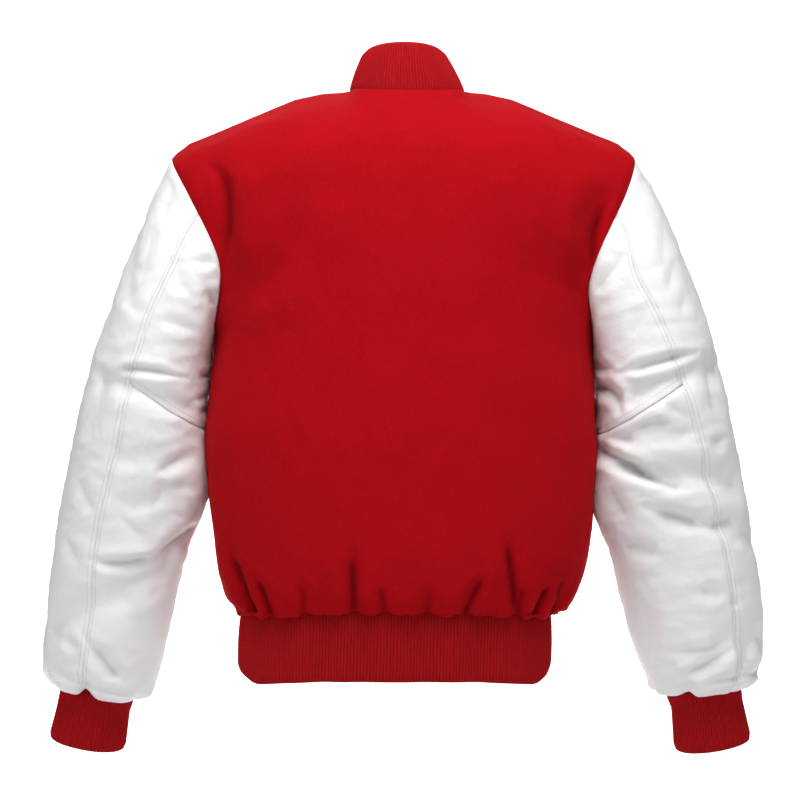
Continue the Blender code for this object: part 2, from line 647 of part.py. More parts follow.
def pulled(panel, normals):
    """The panel's points, moved back from its seams by half of the seam's gap, or further at open ends."""
    grid, seams = panel.grid, panel.seams
    rows, columns = len(grid), len(grid[0])
    moved = [[point.copy() for point in row] for row in grid]
    ends = 0.0011 if "ends" in seams else 0.0
    for i in range(rows):
        for j in range(columns):
            steps = []
            if i == 0 and "row0" in seams:
                steps.append((grid[1][j] - grid[0][j], along_row(grid, i, j), 0.5 * SEAM_GAP))
            if i == rows - 1 and "row1" in seams:
                steps.append((grid[i - 1][j] - grid[i][j], along_row(grid, i, j), 0.5 * SEAM_GAP))
            if j == 0 and ("col0" in seams or ends):
                steps.append((grid[i][1] - grid[i][0], along_column(grid, i, j), ends or 0.5 * SEAM_GAP))
            if j == columns - 1 and ("col1" in seams or ends):
                steps.append((grid[i][j - 1] - grid[i][j], along_column(grid, i, j), ends or 0.5 * SEAM_GAP))
            for inward, along, gap in steps:
                across = normals[spot(grid[i][j])].cross(along).normalized()
                inward = inward.normalized()
                moved[i][j] += inward * (gap / max(0.4, abs(inward.dot(across))))
        if panel.wraps:
            moved[i][-1] = moved[i][0].copy()
    return moved


def along_row(grid, i, j):
    last = len(grid[i]) - 1
    return (grid[i][min(last, j + 1)] - grid[i][max(0, j - 1)]).normalized()


def along_column(grid, i, j):
    last = len(grid) - 1
    return (grid[min(last, i + 1)][j] - grid[max(0, i - 1)][j]).normalized()


def new_object(name, bm, finish, collection):
    bmesh.ops.recalc_face_normals(bm, faces=bm.faces[:])
    if bm.calc_volume(signed=True) < 0:
        bmesh.ops.reverse_faces(bm, faces=bm.faces[:])
    mesh = bpy.data.meshes.new(name)
    bm.to_mesh(mesh)
    bm.free()
    mesh.shade_smooth()
    mesh.set_sharp_from_angle(angle=math.radians(45))
    material = bpy.data.materials.new(name)
    material.use_nodes = True
    shader = material.node_tree.nodes["Principled BSDF"]
    shader.inputs["Base Color"].default_value = finish.color
    shader.inputs["Roughness"].default_value = finish.roughness
    shader.inputs["Metallic"].default_value = finish.metallic
    mesh.materials.append(material)
    obj = bpy.data.objects.new(name, mesh)
    collection.objects.link(obj)
    return obj


def laid_grid(bm, points):
    """A grid of faces laid on rows of points; returns its vertices in the same rows."""
    rows, columns = len(points), len(points[0])
    made = bmesh.ops.create_grid(bm, x_segments=columns - 1, y_segments=rows - 1, size=0.5)["verts"]
    table = [[None] * columns for _ in range(rows)]
    for vert in made:
        i = round((vert.co.y + 0.5) * (rows - 1))
        j = round((vert.co.x + 0.5) * (columns - 1))
        table[i][j] = vert
    for row, row_points in zip(table, points):
        for vert, point in zip(row, row_points):
            vert.co = point
    return table


def plain_wall(panel, outer, inner):
    """A wall of even thickness: the outer grid, pulled in to the inner one."""
    bm = bmesh.new()
    order = bm.verts.layers.int.new("order")
    table = laid_grid(bm, outer)
    flat_inner = []
    for row, row_points in zip(table, inner):
        for vert, point in zip(row, row_points):
            vert[order] = len(flat_inner)
            flat_inner.append(point)
    lifted = bmesh.ops.extrude_face_region(bm, geom=bm.faces[:])["geom"]
    for vert in (item for item in lifted if isinstance(item, bmesh.types.BMVert)):
        vert.co = flat_inner[vert[order]]
    bm.verts.layers.int.remove(order)
    return bm


def rib_fractions(panel):
    """For each coarse column, the fractions across it where a rib's valleys and crests lie."""
    middle = panel.grid[len(panel.grid) // 2]
    counts = [max(1, round((b - a).length / panel.pitch)) for a, b in zip(middle, middle[1:])]
    return [[step / (2 * count) for step in range(2 * count)] for count in counts]


def ribbed_wall(panel, outer, inner, normals):
    """A wall whose outer points rise into ribs over a plain inside."""
    fractions = rib_fractions(panel)
    fine = []
    for row, source in zip(outer, panel.grid):
        points = []
        for j, steps in enumerate(fractions):
            lift_a, lift_b = normals[spot(source[j])], normals[spot(source[j + 1])]
            for n, share in enumerate(steps):
                lift = lerp(lift_a, lift_b, share).normalized() * (panel.rib * (n % 2))
                points.append(lerp(row[j], row[j + 1], share) + lift)
        points.append(row[-1])
        fine.append(points)
    bm = bmesh.new()
    outside = laid_grid(bm, fine)
    inside = laid_grid(bm, inner)
    starts = [0]
    for steps in fractions:
        starts.append(starts[-1] + len(steps))
    for out_row, in_row in ((outside[0], inside[0]), (outside[-1], inside[-1])):
        for j, (first, last) in enumerate(zip(starts, starts[1:])):
            bm.faces.new(out_row[first : last + 1] + [in_row[j + 1], in_row[j]])
    if not panel.wraps:
        for end in (0, -1):
            for i in range(len(outside) - 1):
                bm.faces.new((outside[i][end], outside[i + 1][end], inside[i + 1][end], inside[i][end]))
    bmesh.ops.remove_doubles(bm, verts=bm.verts[:], dist=1e-6)
    return bm


def outward_turn(panel, middle_of):
    """1 or -1, so that the panel's cell normals face away from a point inside the garment."""
    total = 0.0
    for corners, normal in cell_normals(panel.grid):
        centre = sum(corners, Vector()) / 4.0
        total += normal.dot(centre - middle_of(centre))
    return 1 if total > 0 else -1


def inside_point(panel):
    """A function to the nearest point on the middle line of the tube that a panel belongs to."""
    if "sleeve" in panel.name or "cuff" in panel.name:
        points = [point for row in panel.grid for point in row]
        side = LEFT if points[0].x > 0 else RIGHT
        centres = [section_frame(section, side)[0] for section in SLEEVES[side]]
        return lambda at: min(centres, key=lambda centre: (centre - at).length)
    return lambda at: Vector((0.0, 0.0, at.z - 0.02))


def build_cloth(panels, collection):
    turns = {panel.name: outward_turn(panel, inside_point(panel)) for panel in panels}
    normals = skin_normals(panels, turns)
    for panel in panels:
        outer = pulled(panel, normals)
        inner = [
            [point - normals[spot(source)] * panel.wall for point, source in zip(row, source_row)]
            for row, source_row in zip(outer, panel.grid)
        ]
        if panel.pitch:
            bm = ribbed_wall(panel, outer, inner, normals)
        else:
            bm = plain_wall(panel, outer, inner)
        new_object(panel.name, bm, panel.finish, collection)


def snap_cap():
    """A low round cap with a softened rim, its back at the origin and its face towards +Z."""
    bm = bmesh.new()
    bmesh.ops.create_cone(
        bm, cap_ends=True, segments=16, radius1=SNAP_RADIUS, radius2=SNAP_RADIUS * 0.82, depth=SNAP_HEIGHT
    )
    bmesh.ops.translate(bm, vec=(0.0, 0.0, 0.5 * SNAP_HEIGHT), verts=bm.verts[:])
    return bm


def closure_point(column, height):
    """The point at a height of one of the left front's columns, which run straight from row to row."""
    line = [front_at(LEFT, column, level) for level in body_levels()]
    below, above = next(pair for pair in zip(line, line[1:]) if height <= pair[1].z)
    return lerp(below, above, (height - below.z) / (above.z - below.z))


def snap_seat(height):
    """The centre, outward direction and hollow of the closure under a snap at a height."""
    point = closure_point(1, height)
    below, above = closure_point(1, height - SNAP_RADIUS), closure_point(1, height + SNAP_RADIUS)
    facing_out = Vector((1.0, 0.0, 0.0)).cross(above - below).normalized()
    rim = [0.5 * (below + above)]
    for column in (0, 2):
        beside = closure_point(column, height)
        rim.append(lerp(point, beside, SNAP_RADIUS / abs(beside.x - point.x)))
    return point, facing_out, max(0.0, max((spot_on - point).dot(facing_out) for spot_on in rim))


def build_snaps(collection):
    """Caps down the centre line of the left front; the lowest closes the hem band."""
    band = hem_point(FRONT, LEFT, 1, 0.55)
    upward = (hem_point(FRONT, LEFT, 1, 0.45) - band).normalized()
    gap = (TOP_SNAP_HEIGHT - band.z) / (SNAP_COUNT - 1)
    seats = [snap_seat(TOP_SNAP_HEIGHT - gap * number) for number in range(SNAP_COUNT - 1)]
    seats.append((band, Vector((1.0, 0.0, 0.0)).cross(upward), HEM_RIB))
    for number, (point, facing_out, lift) in enumerate(seats, 1):
        cap = new_object(f"snap_{number}", snap_cap(), SNAP_PAINT, collection)
        cap.rotation_euler = facing_out.to_track_quat("Z", "Y").to_euler()
        cap.location = point + facing_out * (SNAP_SEAT + lift)


def main():
    for obj in list(bpy.data.objects):
        bpy.data.objects.remove(obj)
    collection = bpy.data.collections.new("Varsity jacket")
    bpy.context.scene.collection.children.link(collection)
    panels = [back_panel(), front_panel("front_left", LEFT), front_panel("front_right", RIGHT)]
    panels += sleeve_pieces(LEFT) + sleeve_pieces(RIGHT) + [collar_panel(), hem_panel()]
    build_cloth(panels, collection)
    build_snaps(collection)


main()
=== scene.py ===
"""A varsity jacket for Blender: dressed cloth, knit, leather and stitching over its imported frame.

Metres, +Z up; the front faces -Y and the wearer's left is +X. Each cloth piece is a thin shell on the
same skin as its solid, sampled finer, with creases, seam ditches and raised ribs of its own.
"""

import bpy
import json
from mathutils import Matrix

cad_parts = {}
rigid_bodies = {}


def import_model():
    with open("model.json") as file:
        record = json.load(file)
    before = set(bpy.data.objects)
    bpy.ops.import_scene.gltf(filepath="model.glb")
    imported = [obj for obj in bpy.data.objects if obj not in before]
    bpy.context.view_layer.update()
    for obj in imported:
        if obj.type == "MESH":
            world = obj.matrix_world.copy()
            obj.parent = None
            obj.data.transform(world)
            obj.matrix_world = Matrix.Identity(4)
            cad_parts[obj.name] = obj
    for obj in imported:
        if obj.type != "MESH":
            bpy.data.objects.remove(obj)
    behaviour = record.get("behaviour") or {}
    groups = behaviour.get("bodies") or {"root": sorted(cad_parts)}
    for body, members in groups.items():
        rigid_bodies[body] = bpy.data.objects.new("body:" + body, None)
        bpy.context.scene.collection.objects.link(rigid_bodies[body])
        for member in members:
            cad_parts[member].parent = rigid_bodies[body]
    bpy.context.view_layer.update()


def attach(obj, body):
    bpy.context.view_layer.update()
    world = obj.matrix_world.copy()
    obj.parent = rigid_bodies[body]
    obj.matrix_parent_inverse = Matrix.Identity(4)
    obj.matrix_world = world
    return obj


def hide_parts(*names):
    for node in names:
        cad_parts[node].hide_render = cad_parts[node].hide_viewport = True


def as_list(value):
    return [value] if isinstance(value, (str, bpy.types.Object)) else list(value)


bl_info = {
    "name": "Varsity jacket",
    "version": (1, 0, 0),
    "blender": (4, 5, 0),
    "location": "View3D > Sidebar > Jacket",
    "description": "Dresses the jacket's frame with wool, leather, rib knit, stitching and snaps",
    "category": "Object",
}

import functools
import json
import math
from collections import namedtuple

import bmesh
import bpy
import numpy as np
from mathutils import Matrix, Vector

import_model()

LEFT, RIGHT = 1, -1
BACK, FRONT = 1, -1


def table(kind, *rows):
    """Rows of one kind of record."""
    return tuple(kind(*row) for row in rows)


# Columns that the seams are laid out on, counted from the centre to the side
NECK_COLUMNS = 5
SHOULDER_COLUMNS = 10
HALF_COLUMNS = NECK_COLUMNS + SHOULDER_COLUMNS
NECK_SHARE = NECK_COLUMNS / HALF_COLUMNS

# Front closure
OVERLAP = 0.018
FREE_EDGE_LIMIT, FREE_EDGE_HALVINGS = 0.25, 24
LAP_STEP = 0.0046
LAP_START, LAP_END = 0.052, 0.024
SNAP_COUNT = 7

# Ribs
HEM_PITCH = 0.0035
COLLAR_PITCH = 0.0031
CUFF_PITCH = 0.0031
HEM_BAND_DEPTH = 0.0735
HEM_BAND_SHIFT = 0.002
HEM_BAND_TAPER = 0.985

# Neck and collar
NECK_SIDE = {LEFT: 0.0590, RIGHT: 0.0670}
NECK_SIDE_HEIGHT = -0.002
BACK_NECK_DROP = 0.009
FRONT_NECK_DROP = 0.083
NECK_CURVE = 1.8
COLLAR_TOP = 0.0425
COLLAR_FRONT_DEPTH = 0.040
COLLAR_LEAN_SIDE = {LEFT: 0.0140, RIGHT: 0.0215}
COLLAR_SIDE_DROP = 0.0075
COLLAR_LEAN_DEPTH = 0.012
COLLAR_FRONT_LEAN = 0.6
COLLAR_ROUNDING = 0.012
COLLAR_CORNER = 0.22
COLLAR_BULGE = 0.0015
COLLAR_HALF_DEPTH = 0.07

BodyRing = namedtuple("BodyRing", "height centre half_width back front square side_drop")
BODY_RINGS = table(
    BodyRing,
    (-0.5625, 0.0085, 0.1695, 0.112, 0.107, 2.3, 0.0135),
    (-0.5605, 0.0060, 0.1790, 0.121, 0.116, 2.3, 0.0165),
    (-0.5480, 0.0035, 0.1885, 0.129, 0.124, 2.35, 0.0140),
    (-0.5210, 0.0015, 0.2000, 0.134, 0.129, 2.4, 0.007),
    (-0.4850, 0.0010, 0.2065, 0.137, 0.132, 2.4, 0.003),
    (-0.4420, 0.0025, 0.2115, 0.138, 0.133, 2.4, 0.0),
    (-0.3900, 0.0030, 0.2145, 0.139, 0.134, 2.4, 0.0),
    (-0.3400, 0.0020, 0.2110, 0.138, 0.134, 2.4, 0.0),
    (-0.3000, 0.0015, 0.2075, 0.137, 0.132, 2.4, 0.0),
    (-0.2720, 0.0000, 0.2000, 0.136, 0.130, 2.4, 0.0),
)

# How far the body flares at the underarm and over which levels, and how its upper part takes over from there
UNDERARM_FLARE = 0.0055
FLARE_START, FLARE_RUN, FLARE_END = 0.9, 0.1, 0.25
CHEST_BLEND = 0.35
TOP_BLEND_START, TOP_BLEND_RUN = 0.9, 0.1
YOKE_ROUNDING = 9
TUCK_RING = 4
TUCK_START, TUCK_RUN = 0.12, 0.2

ArmholePoint = namedtuple("ArmholePoint", "left_x right_x depth height")
ARMHOLE_BACK = table(
    ArmholePoint,
    (0.2060, 0.2060, 0.000, -0.2720),
    (0.2035, 0.2035, 0.038, -0.2600),
    (0.1963, 0.1968, 0.063, -0.2270),
    (0.1948, 0.2015, 0.074, -0.2000),
    (0.2040, 0.2128, 0.078, -0.1715),
    (0.2285, 0.2360, 0.068, -0.1240),
    (0.2475, 0.2495, 0.040, -0.0900),
    (0.2546, 0.2535, 0.000, -0.0748),
)
ARMHOLE_FRONT = table(
    ArmholePoint,
    (0.2060, 0.2060, 0.000, -0.2720),
    (0.2020, 0.2025, -0.036, -0.2600),
    (0.1930, 0.1950, -0.062, -0.2250),
    (0.1990, 0.2020, -0.074, -0.1735),
    (0.2220, 0.2260, -0.064, -0.1240),
    (0.2450, 0.2455, -0.038, -0.0900),
    (0.2546, 0.2535, 0.000, -0.0748),
)

CentrePoint = namedtuple("CentrePoint", "depth height")
BACK_CENTRE = table(
    CentrePoint,
    (0.136, -0.272),
    (0.134, -0.200),
    (0.129, -0.132),
    (0.114, -0.068),
    (0.072, -0.011),
)
FRONT_CENTRE = table(
    CentrePoint,
    (-0.130, -0.272),
    (-0.127, -0.222),
    (-0.118, -0.174),
    (-0.102, -0.128),
    (-0.078, -0.085),
)

ShoulderPoint = namedtuple("ShoulderPoint", "across height")
SHOULDER_LINE = table(
    ShoulderPoint,
    (0.0590, -0.0020),
    (0.0900, -0.0042),
    (0.1190, -0.0105),
    (0.1490, -0.0230),
    (0.1800, -0.0360),
    (0.2100, -0.0485),
    (0.2360, -0.0590),
    (0.2546, -0.0748),
)

# Sections down a sleeve. Each side has its own outer and inner points and its turn in degrees. Both share the
# depth to the back and front of the line between those points, how far it stands behind the origin and its
# lean in degrees.
Section = namedtuple("Section", "outer_x outer_z inner_x inner_z turn back front behind lean")
SLEEVE_DEPTHS = (
    (0.078, 0.074, 0.000, 0),
    (0.084, 0.080, 0.001, 0),
    (0.087, 0.084, 0.003, 0),
    (0.087, 0.084, 0.004, 0),
    (0.084, 0.082, 0.004, 1),
    (0.080, 0.079, 0.002, 2),
    (0.075, 0.075, -0.002, 3),
    (0.070, 0.069, -0.008, 4),
    (0.065, 0.064, -0.015, 5),
    (0.061, 0.060, -0.024, 6),
    (0.058, 0.057, -0.030, 6),
    (0.050, 0.049, -0.033, 6),
    (0.038, 0.037, -0.034, 6),
)


def sleeve_sections(*outlines):
    return tuple(Section(*outline, *depths) for outline, depths in zip(outlines, SLEEVE_DEPTHS))


SLEEVES = {
    LEFT: sleeve_sections(
        (0.2546, -0.0748, 0.2060, -0.2720, 0),
        (0.2720, -0.1120, 0.2085, -0.2790, -6),
        (0.2945, -0.1680, 0.2105, -0.3010, -8),
        (0.3165, -0.2300, 0.2150, -0.3360, -8),
        (0.3375, -0.2880, 0.2183, -0.3720, -7),
        (0.3535, -0.3500, 0.2195, -0.4120, -6),
        (0.3680, -0.4120, 0.2245, -0.4500, -4),
        (0.3815, -0.4780, 0.2400, -0.5020, -4),
        (0.3910, -0.5450, 0.2530, -0.5640, -6),
        (0.3985, -0.6070, 0.2670, -0.6260, -8),
        (0.4000, -0.6410, 0.2770, -0.6590, -8),
        (0.3920, -0.6570, 0.2860, -0.6740, -8),
        (0.3815, -0.6610, 0.3020, -0.6740, -8),
    ),
    RIGHT: sleeve_sections(
        (0.2535, -0.0748, 0.2060, -0.2720, 0),
        (0.2745, -0.1120, 0.2080, -0.2790, -16),
        (0.2990, -0.1680, 0.2080, -0.3010, -13),
        (0.3230, -0.2300, 0.2110, -0.3370, -9),
        (0.3420, -0.2920, 0.2130, -0.3780, -2),
        (0.3570, -0.3540, 0.2125, -0.4180, 4),
        (0.3705, -0.4160, 0.2150, -0.4560, 8),
        (0.3825, -0.4800, 0.2290, -0.5060, 10),
        (0.3945, -0.5450, 0.2420, -0.5660, 10),
        (0.4000, -0.6050, 0.2600, -0.6240, 10),
        (0.3975, -0.6400, 0.2720, -0.6540, 10),
        (0.3885, -0.6570, 0.2790, -0.6680, 10),
        (0.3760, -0.6600, 0.2940, -0.6690, 10),
    ),
}
ARMHOLE_BLEND = 3.0
SLEEVE_SQUARE = 2.15
ELBOW_SECTION = 4
BACK_SEAM_COLUMN = 4
FRONT_SEAM_COLUMN = 14
SLEEVE_COLUMNS = 20
SLEEVE_RADIUS = 0.085
SECTION_RUN = 0.055
FOLD_TURN_END = 330.0

# Along a sleeve, in sections: where its turn sets in, where its folds begin and end, and where it is gathered
# into the cuff
TURN_RUN = 2.0
FOLD_START, FOLD_END, FOLD_END_FADE = 1.2, 1.6, 0.8
PINCH_START, PINCH_RUN, PINCH_END = 2.6, 1.4, 0.5

# Rings of a cuff: outer and inner point, half depth and how far it stands behind the origin. The waist lies
# at a share of the way from the sleeve's end to the mouth.
WAIST_SHARE = 0.35
CuffEnd = namedtuple("CuffEnd", "outer_x outer_z inner_x inner_z half_depth behind")
CUFF_WAIST = {
    LEFT: CuffEnd(0.3855, -0.6780, 0.3080, -0.6900, 0.036, -0.036),
    RIGHT: CuffEnd(0.3775, -0.6740, 0.3010, -0.6860, 0.036, -0.036),
}
CUFF_MOUTH = {
    LEFT: CuffEnd(0.3960, -0.7150, 0.3130, -0.7310, 0.038, -0.041),
    RIGHT: CuffEnd(0.3885, -0.7175, 0.3045, -0.7320, 0.038, -0.041),
}

# Gathers above the hem seam: place round the body in half turns from the centre (back positive towards the
# wearer's left), width in the same measure, depth of the trough and how high it rises.
Gather = namedtuple("Gather", "place width depth rise")
GATHER_FOOT, GATHER_SEAM = 0.006, 0.004
HEM_GATHERS_BACK = table(
    Gather,
    (-0.86, 0.055, 0.0045, 0.030),
    (-0.70, 0.050, 0.0050, 0.045),
    (-0.55, 0.060, 0.0055, 0.060),
    (-0.32, 0.060, 0.0050, 0.050),
    (-0.10, 0.050, 0.0030, 0.030),
    (0.10, 0.050, 0.0035, 0.030),
    (0.26, 0.060, 0.0055, 0.065),
    (0.48, 0.050, 0.0035, 0.030),
    (0.66, 0.055, 0.0050, 0.045),
    (0.84, 0.060, 0.0050, 0.065),
)
HEM_GATHERS_FRONT = table(
    Gather,
    (0.20, 0.055, 0.0040, 0.045),
    (0.38, 0.060, 0.0050, 0.055),
    (0.55, 0.050, 0.0040, 0.040),
    (0.72, 0.060, 0.0050, 0.060),
    (0.88, 0.050, 0.0045, 0.040),
)

# Large folds: both ends, width and depth (negative for a hollow). Ends are across and up on the body, and
# degrees round and a place in the table of sections on a sleeve.
BodyFold = namedtuple("BodyFold", "from_x from_z to_x to_z width depth")
BACK_FOLDS = table(
    BodyFold,
    (0.198, -0.100, 0.190, -0.200, 0.016, -0.0045),
    (0.172, -0.110, 0.166, -0.215, 0.018, 0.0030),
    (-0.205, -0.130, -0.196, -0.200, 0.016, -0.0045),
    (-0.178, -0.120, -0.172, -0.215, 0.018, 0.0030),
    (0.122, -0.170, 0.165, -0.232, 0.020, -0.0025),
)
FOLD_SIDE_FADE, FOLD_TOP_FADE = 0.06, 0.2
SleeveFold = namedtuple("SleeveFold", "from_turn from_section to_turn to_section width depth")
SLEEVE_FOLDS = {
    LEFT: table(
        SleeveFold,
        (42, 4.3, 132, 3.7, 0.012, -0.0060),
        (77, 5.4, 142, 4.9, 0.014, -0.0040),
        (27, 8.6, 142, 7.3, 0.015, -0.0065),
        (42, 9.6, 112, 10.2, 0.014, -0.0045),
        (92, 6.3, 132, 5.7, 0.014, -0.0035),
        (2, 1.6, 42, 2.6, 0.016, -0.0030),
        (282, 4.8, 182, 4.3, 0.014, -0.0055),
        (292, 7.4, 202, 7.0, 0.014, -0.0050),
    ),
    RIGHT: table(
        SleeveFold,
        (22, 4.2, 112, 3.6, 0.013, -0.0065),
        (42, 6.2, 142, 5.1, 0.014, -0.0085),
        (22, 7.2, 112, 6.5, 0.013, -0.0060),
        (32, 8.9, 82, 8.7, 0.014, -0.0040),
        (22, 9.9, 92, 9.8, 0.013, -0.0050),
        (82, 4.9, 132, 4.4, 0.013, -0.0045),
        (282, 5.0, 182, 4.6, 0.014, -0.0055),
        (292, 7.6, 202, 7.2, 0.014, -0.0050),
    ),
}
CUFF_GATHERS = 7
CUFF_GATHER_DEPTH = 0.0030
CUFF_GATHER_SWAY = 1.3

# Stage
FLOOR_HEIGHT = -1.0
BACKDROP_DEPTH = -3.6
PAPER_SIZE = 8.0
CAMERA_FAR = 2.1
CAMERA_LENS = 85.9
LOOK_AT = Vector((0.00385, 0.0, -0.341))
WORLD_STRENGTH = 0.14
WHITE = (1.0, 1.0, 1.0, 1.0)
GLOW_HALF_WIDTH = 1.25
GLOW_FADE = 0.9
GLOW_TOP = 1.0
Lamp = namedtuple("Lamp", "name place size power")
LAMPS = table(
    Lamp,
    ("overhead", (-0.08, 0.96, 1.30), 1.2, 35.0),
    ("key", (-0.1, 2.0, 0.75), 1.2, 5.0),
    ("fill_left", (2.3, 1.6, 0.5), 1.4, 11.0),
    ("fill_right", (-2.4, 1.6, 0.6), 1.4, 5.5),
    ("front", (0.4, -2.4, 1.5), 2.0, 40.0),
)


def lerp(a, b, share):
    return a + (b - a) * share


def smoothstep(value):
    t = min(1.0, max(0.0, value))
    return t * t * (3.0 - 2.0 * t)


def power(value, exponent):
    """A power that keeps the sign of its base."""
    return math.copysign(abs(value) ** exponent, value)


def spline(rows, at):
    """The row of a table at a fractional index, each column on its own Catmull-Rom curve."""
    last = len(rows) - 1
    at = min(float(last), max(0.0, at))
    i = min(int(at), last - 1)
    t = at - i
    near, far = rows[i], rows[i + 1]
    before = rows[i - 1] if i else [2 * a - b for a, b in zip(near, far)]
    after = rows[i + 2] if i + 2 <= last else [2 * b - a for a, b in zip(near, far)]
    values = [
        b + 0.5 * t * (c - a + t * (2 * a - 5 * b + 4 * c - d + t * (3 * (b - c) + d - a)))
        for a, b, c, d in zip(before, near, far, after)
    ]
    return type(near)(*values)


def even_steps(rows, place, samples=48):
    """A function from 0..1 to a table index, even along the curve that place draws."""
    last = len(rows) - 1
    points = [place(spline(rows, last * n / samples)) for n in range(samples + 1)]
    lengths = [0.0]
    for a, b in zip(points, points[1:]):
        lengths.append(lengths[-1] + (b - a).length)

    def index_at(share):
        target = min(1.0, max(0.0, share)) * lengths[-1]
        n = max(1, next(k for k, length in enumerate(lengths) if length >= target - 1e-9))
        inside = (target - lengths[n - 1]) / (lengths[n] - lengths[n - 1])
        return last * (n - 1 + inside) / samples

    return index_at


def armhole_place(side):
    def place(row):
        return Vector((side * (row.left_x if side == LEFT else row.right_x), row.depth, row.height))

    return place


ARMHOLES = {BACK: ARMHOLE_BACK, FRONT: ARMHOLE_FRONT}
ARMHOLE_STEPS = {
    (side, face): even_steps(rows, armhole_place(side))
    for face, rows in ARMHOLES.items()
    for side in (LEFT, RIGHT)
}


def armhole(side, face, share):
    """A point of the armhole seam, from the underarm (0) to the shoulder (1)."""
    index = ARMHOLE_STEPS[side, face](share)
    return armhole_place(side)(spline(ARMHOLES[face], index))


def shoulder_height(across):
    """Height of the shoulder line at a distance from the centre."""
    for near, far in zip(SHOULDER_LINE, SHOULDER_LINE[1:]):
        if across <= far.across:
            share = (across - near.across) / (far.across - near.across)
            return lerp(near.height, far.height, max(0.0, share))
    return SHOULDER_LINE[-1].height


def top_edge(side, face, out):
    """A point of a panel's top edge, by its share of the half width: neck curve, then shoulder seam."""
    tip = armhole(side, face, 1.0)
    if out <= NECK_SHARE:
        angle = 0.5 * math.pi * out / NECK_SHARE
        depth = (BACK_CENTRE if face == BACK else FRONT_CENTRE)[-1].depth
        drop = BACK_NECK_DROP if face == BACK else FRONT_NECK_DROP
        height = shoulder_height(NECK_SIDE[side]) - drop * max(0.0, math.cos(angle)) ** NECK_CURVE
        return Vector((side * NECK_SIDE[side] * math.sin(angle), depth * math.cos(angle), height))
    share = (out - NECK_SHARE) / (1.0 - NECK_SHARE)
    across = lerp(NECK_SIDE[side], abs(tip.x), share)
    return Vector((side * across, 0.0, shoulder_height(across)))


def tucked_front(ring, out):
    """Depth of the front: it blouses over the band at the sides and runs straight down at the closure."""
    foot, knee = BODY_RINGS[0], BODY_RINGS[TUCK_RING]
    rise = (ring.height - foot.height) / (knee.height - foot.height)
    straight = lerp(foot.front, knee.front, smoothstep(rise) if rise < 1.0 else 1.0)
    share = smoothstep((out - TUCK_START) / TUCK_RUN) if rise < 1.0 else 1.0
    return lerp(straight, ring.front, share)


def lower_body(face, place, level):
    """A point between the hem seam (level 0) and the underarm (level 1); place is -1..1 from side to side."""
    ring = spline(BODY_RINGS, level * (len(BODY_RINGS) - 1))
    angle = 0.5 * math.pi * place
    out = power(math.sin(angle), 2.0 / ring.square)
    depth = ring.back if face == BACK else -tucked_front(ring, abs(place))
    flare = UNDERARM_FLARE * smoothstep((level - FLARE_START) / FLARE_RUN) * power(place, 8)
    x = ring.centre + ring.half_width * out + flare
    y = depth * abs(math.cos(angle)) ** (2.0 / ring.square)
    return Vector((x, y, ring.height - ring.side_drop * abs(out) ** 3))


def upper_body(face, place, level):
    """A point between the underarm (level 0) and the top edge (level 1)."""
    side = LEFT if place >= 0 else RIGHT
    out = abs(place)
    edge = armhole(side, face, level)
    rows = BACK_CENTRE if face == BACK else FRONT_CENTRE
    centre = spline(rows, level * (len(rows) - 1))
    top = top_edge(side, face, out)
    square = BODY_RINGS[-1].square
    low_out = math.sin(0.5 * math.pi * out) ** (2.0 / square)
    tip = armhole(side, face, 1.0)
    top_out = top.x / tip.x
    across = lerp(low_out, top_out, smoothstep(level))
    flare = UNDERARM_FLARE * (1.0 - smoothstep(level / FLARE_END))
    x = side * ((abs(edge.x) - flare) * across + flare * out**8)
    round_share = abs(math.cos(0.5 * math.pi * out)) ** (2.0 / square)
    fall = lerp(round_share, 1.0 - across**3, smoothstep(level / CHEST_BLEND))
    y = edge.y + (centre.depth - edge.y) * fall
    y += level**YOKE_ROUNDING * (top.y - rows[-1].depth * (1.0 - top_out**3))
    z = edge.z + (centre.height - edge.z) * (1.0 - across**2)
    z += level**2 * (top.z - tip.z - (rows[-1].height - tip.z) * (1.0 - top_out**2))
    return lerp(Vector((x, y, z)), top, smoothstep((level - TOP_BLEND_START) / TOP_BLEND_RUN))


def gather_depth(face, place, rise):
    """How far the gathers above the hem seam press the cloth in."""
    if face == BACK:
        gathers, at = HEM_GATHERS_BACK, place
    else:
        gathers, at = HEM_GATHERS_FRONT, abs(place)
    depth = 0.0
    for gather in gathers:
        across = math.exp(-(((at - gather.place) / gather.width) ** 2))
        depth += gather.depth * across * smoothstep(1.0 - rise / gather.rise)
    return depth * smoothstep(rise / GATHER_SEAM)


def fold_share(point, start, end, width):
    """1 on the line from start to end, falling smoothly to 0 beside it and past its ends."""
    run = end - start
    along = min(1.0, max(0.0, (point - start).dot(run) / run.length_squared))
    distance = (point - start - run * along).length
    return math.exp(-((distance / width) ** 2))


def body_point(face, place, level):
    """A point of the body's skin: level 0 is the hem seam, 1 the underarm and 2 the top edge."""
    if level <= 1.0:
        point = lower_body(face, place, level)
        outward = Vector((point.x / 2.0, point.y, 0.0)).normalized()
        point -= outward * gather_depth(face, place, point.z - BODY_RINGS[0].height + GATHER_FOOT)
    else:
        point = upper_body(face, place, level - 1.0)
    if face == BACK:
        calm = smoothstep((1.0 - abs(place)) / FOLD_SIDE_FADE) * smoothstep((2.0 - level) / FOLD_TOP_FADE)
        flat = Vector((point.x, point.z))
        for fold in BACK_FOLDS:
            start, end = Vector((fold.from_x, fold.from_z)), Vector((fold.to_x, fold.to_z))
            point.y += calm * fold.depth * fold_share(flat, start, end, fold.width)
    return point


def lap(side, x):
    """How far forward the upper layer of the front closure stands at a distance from the centre line."""
    return LAP_STEP * smoothstep((LAP_START - side * x) / (LAP_START - LAP_END)) if side == LEFT else 0.0


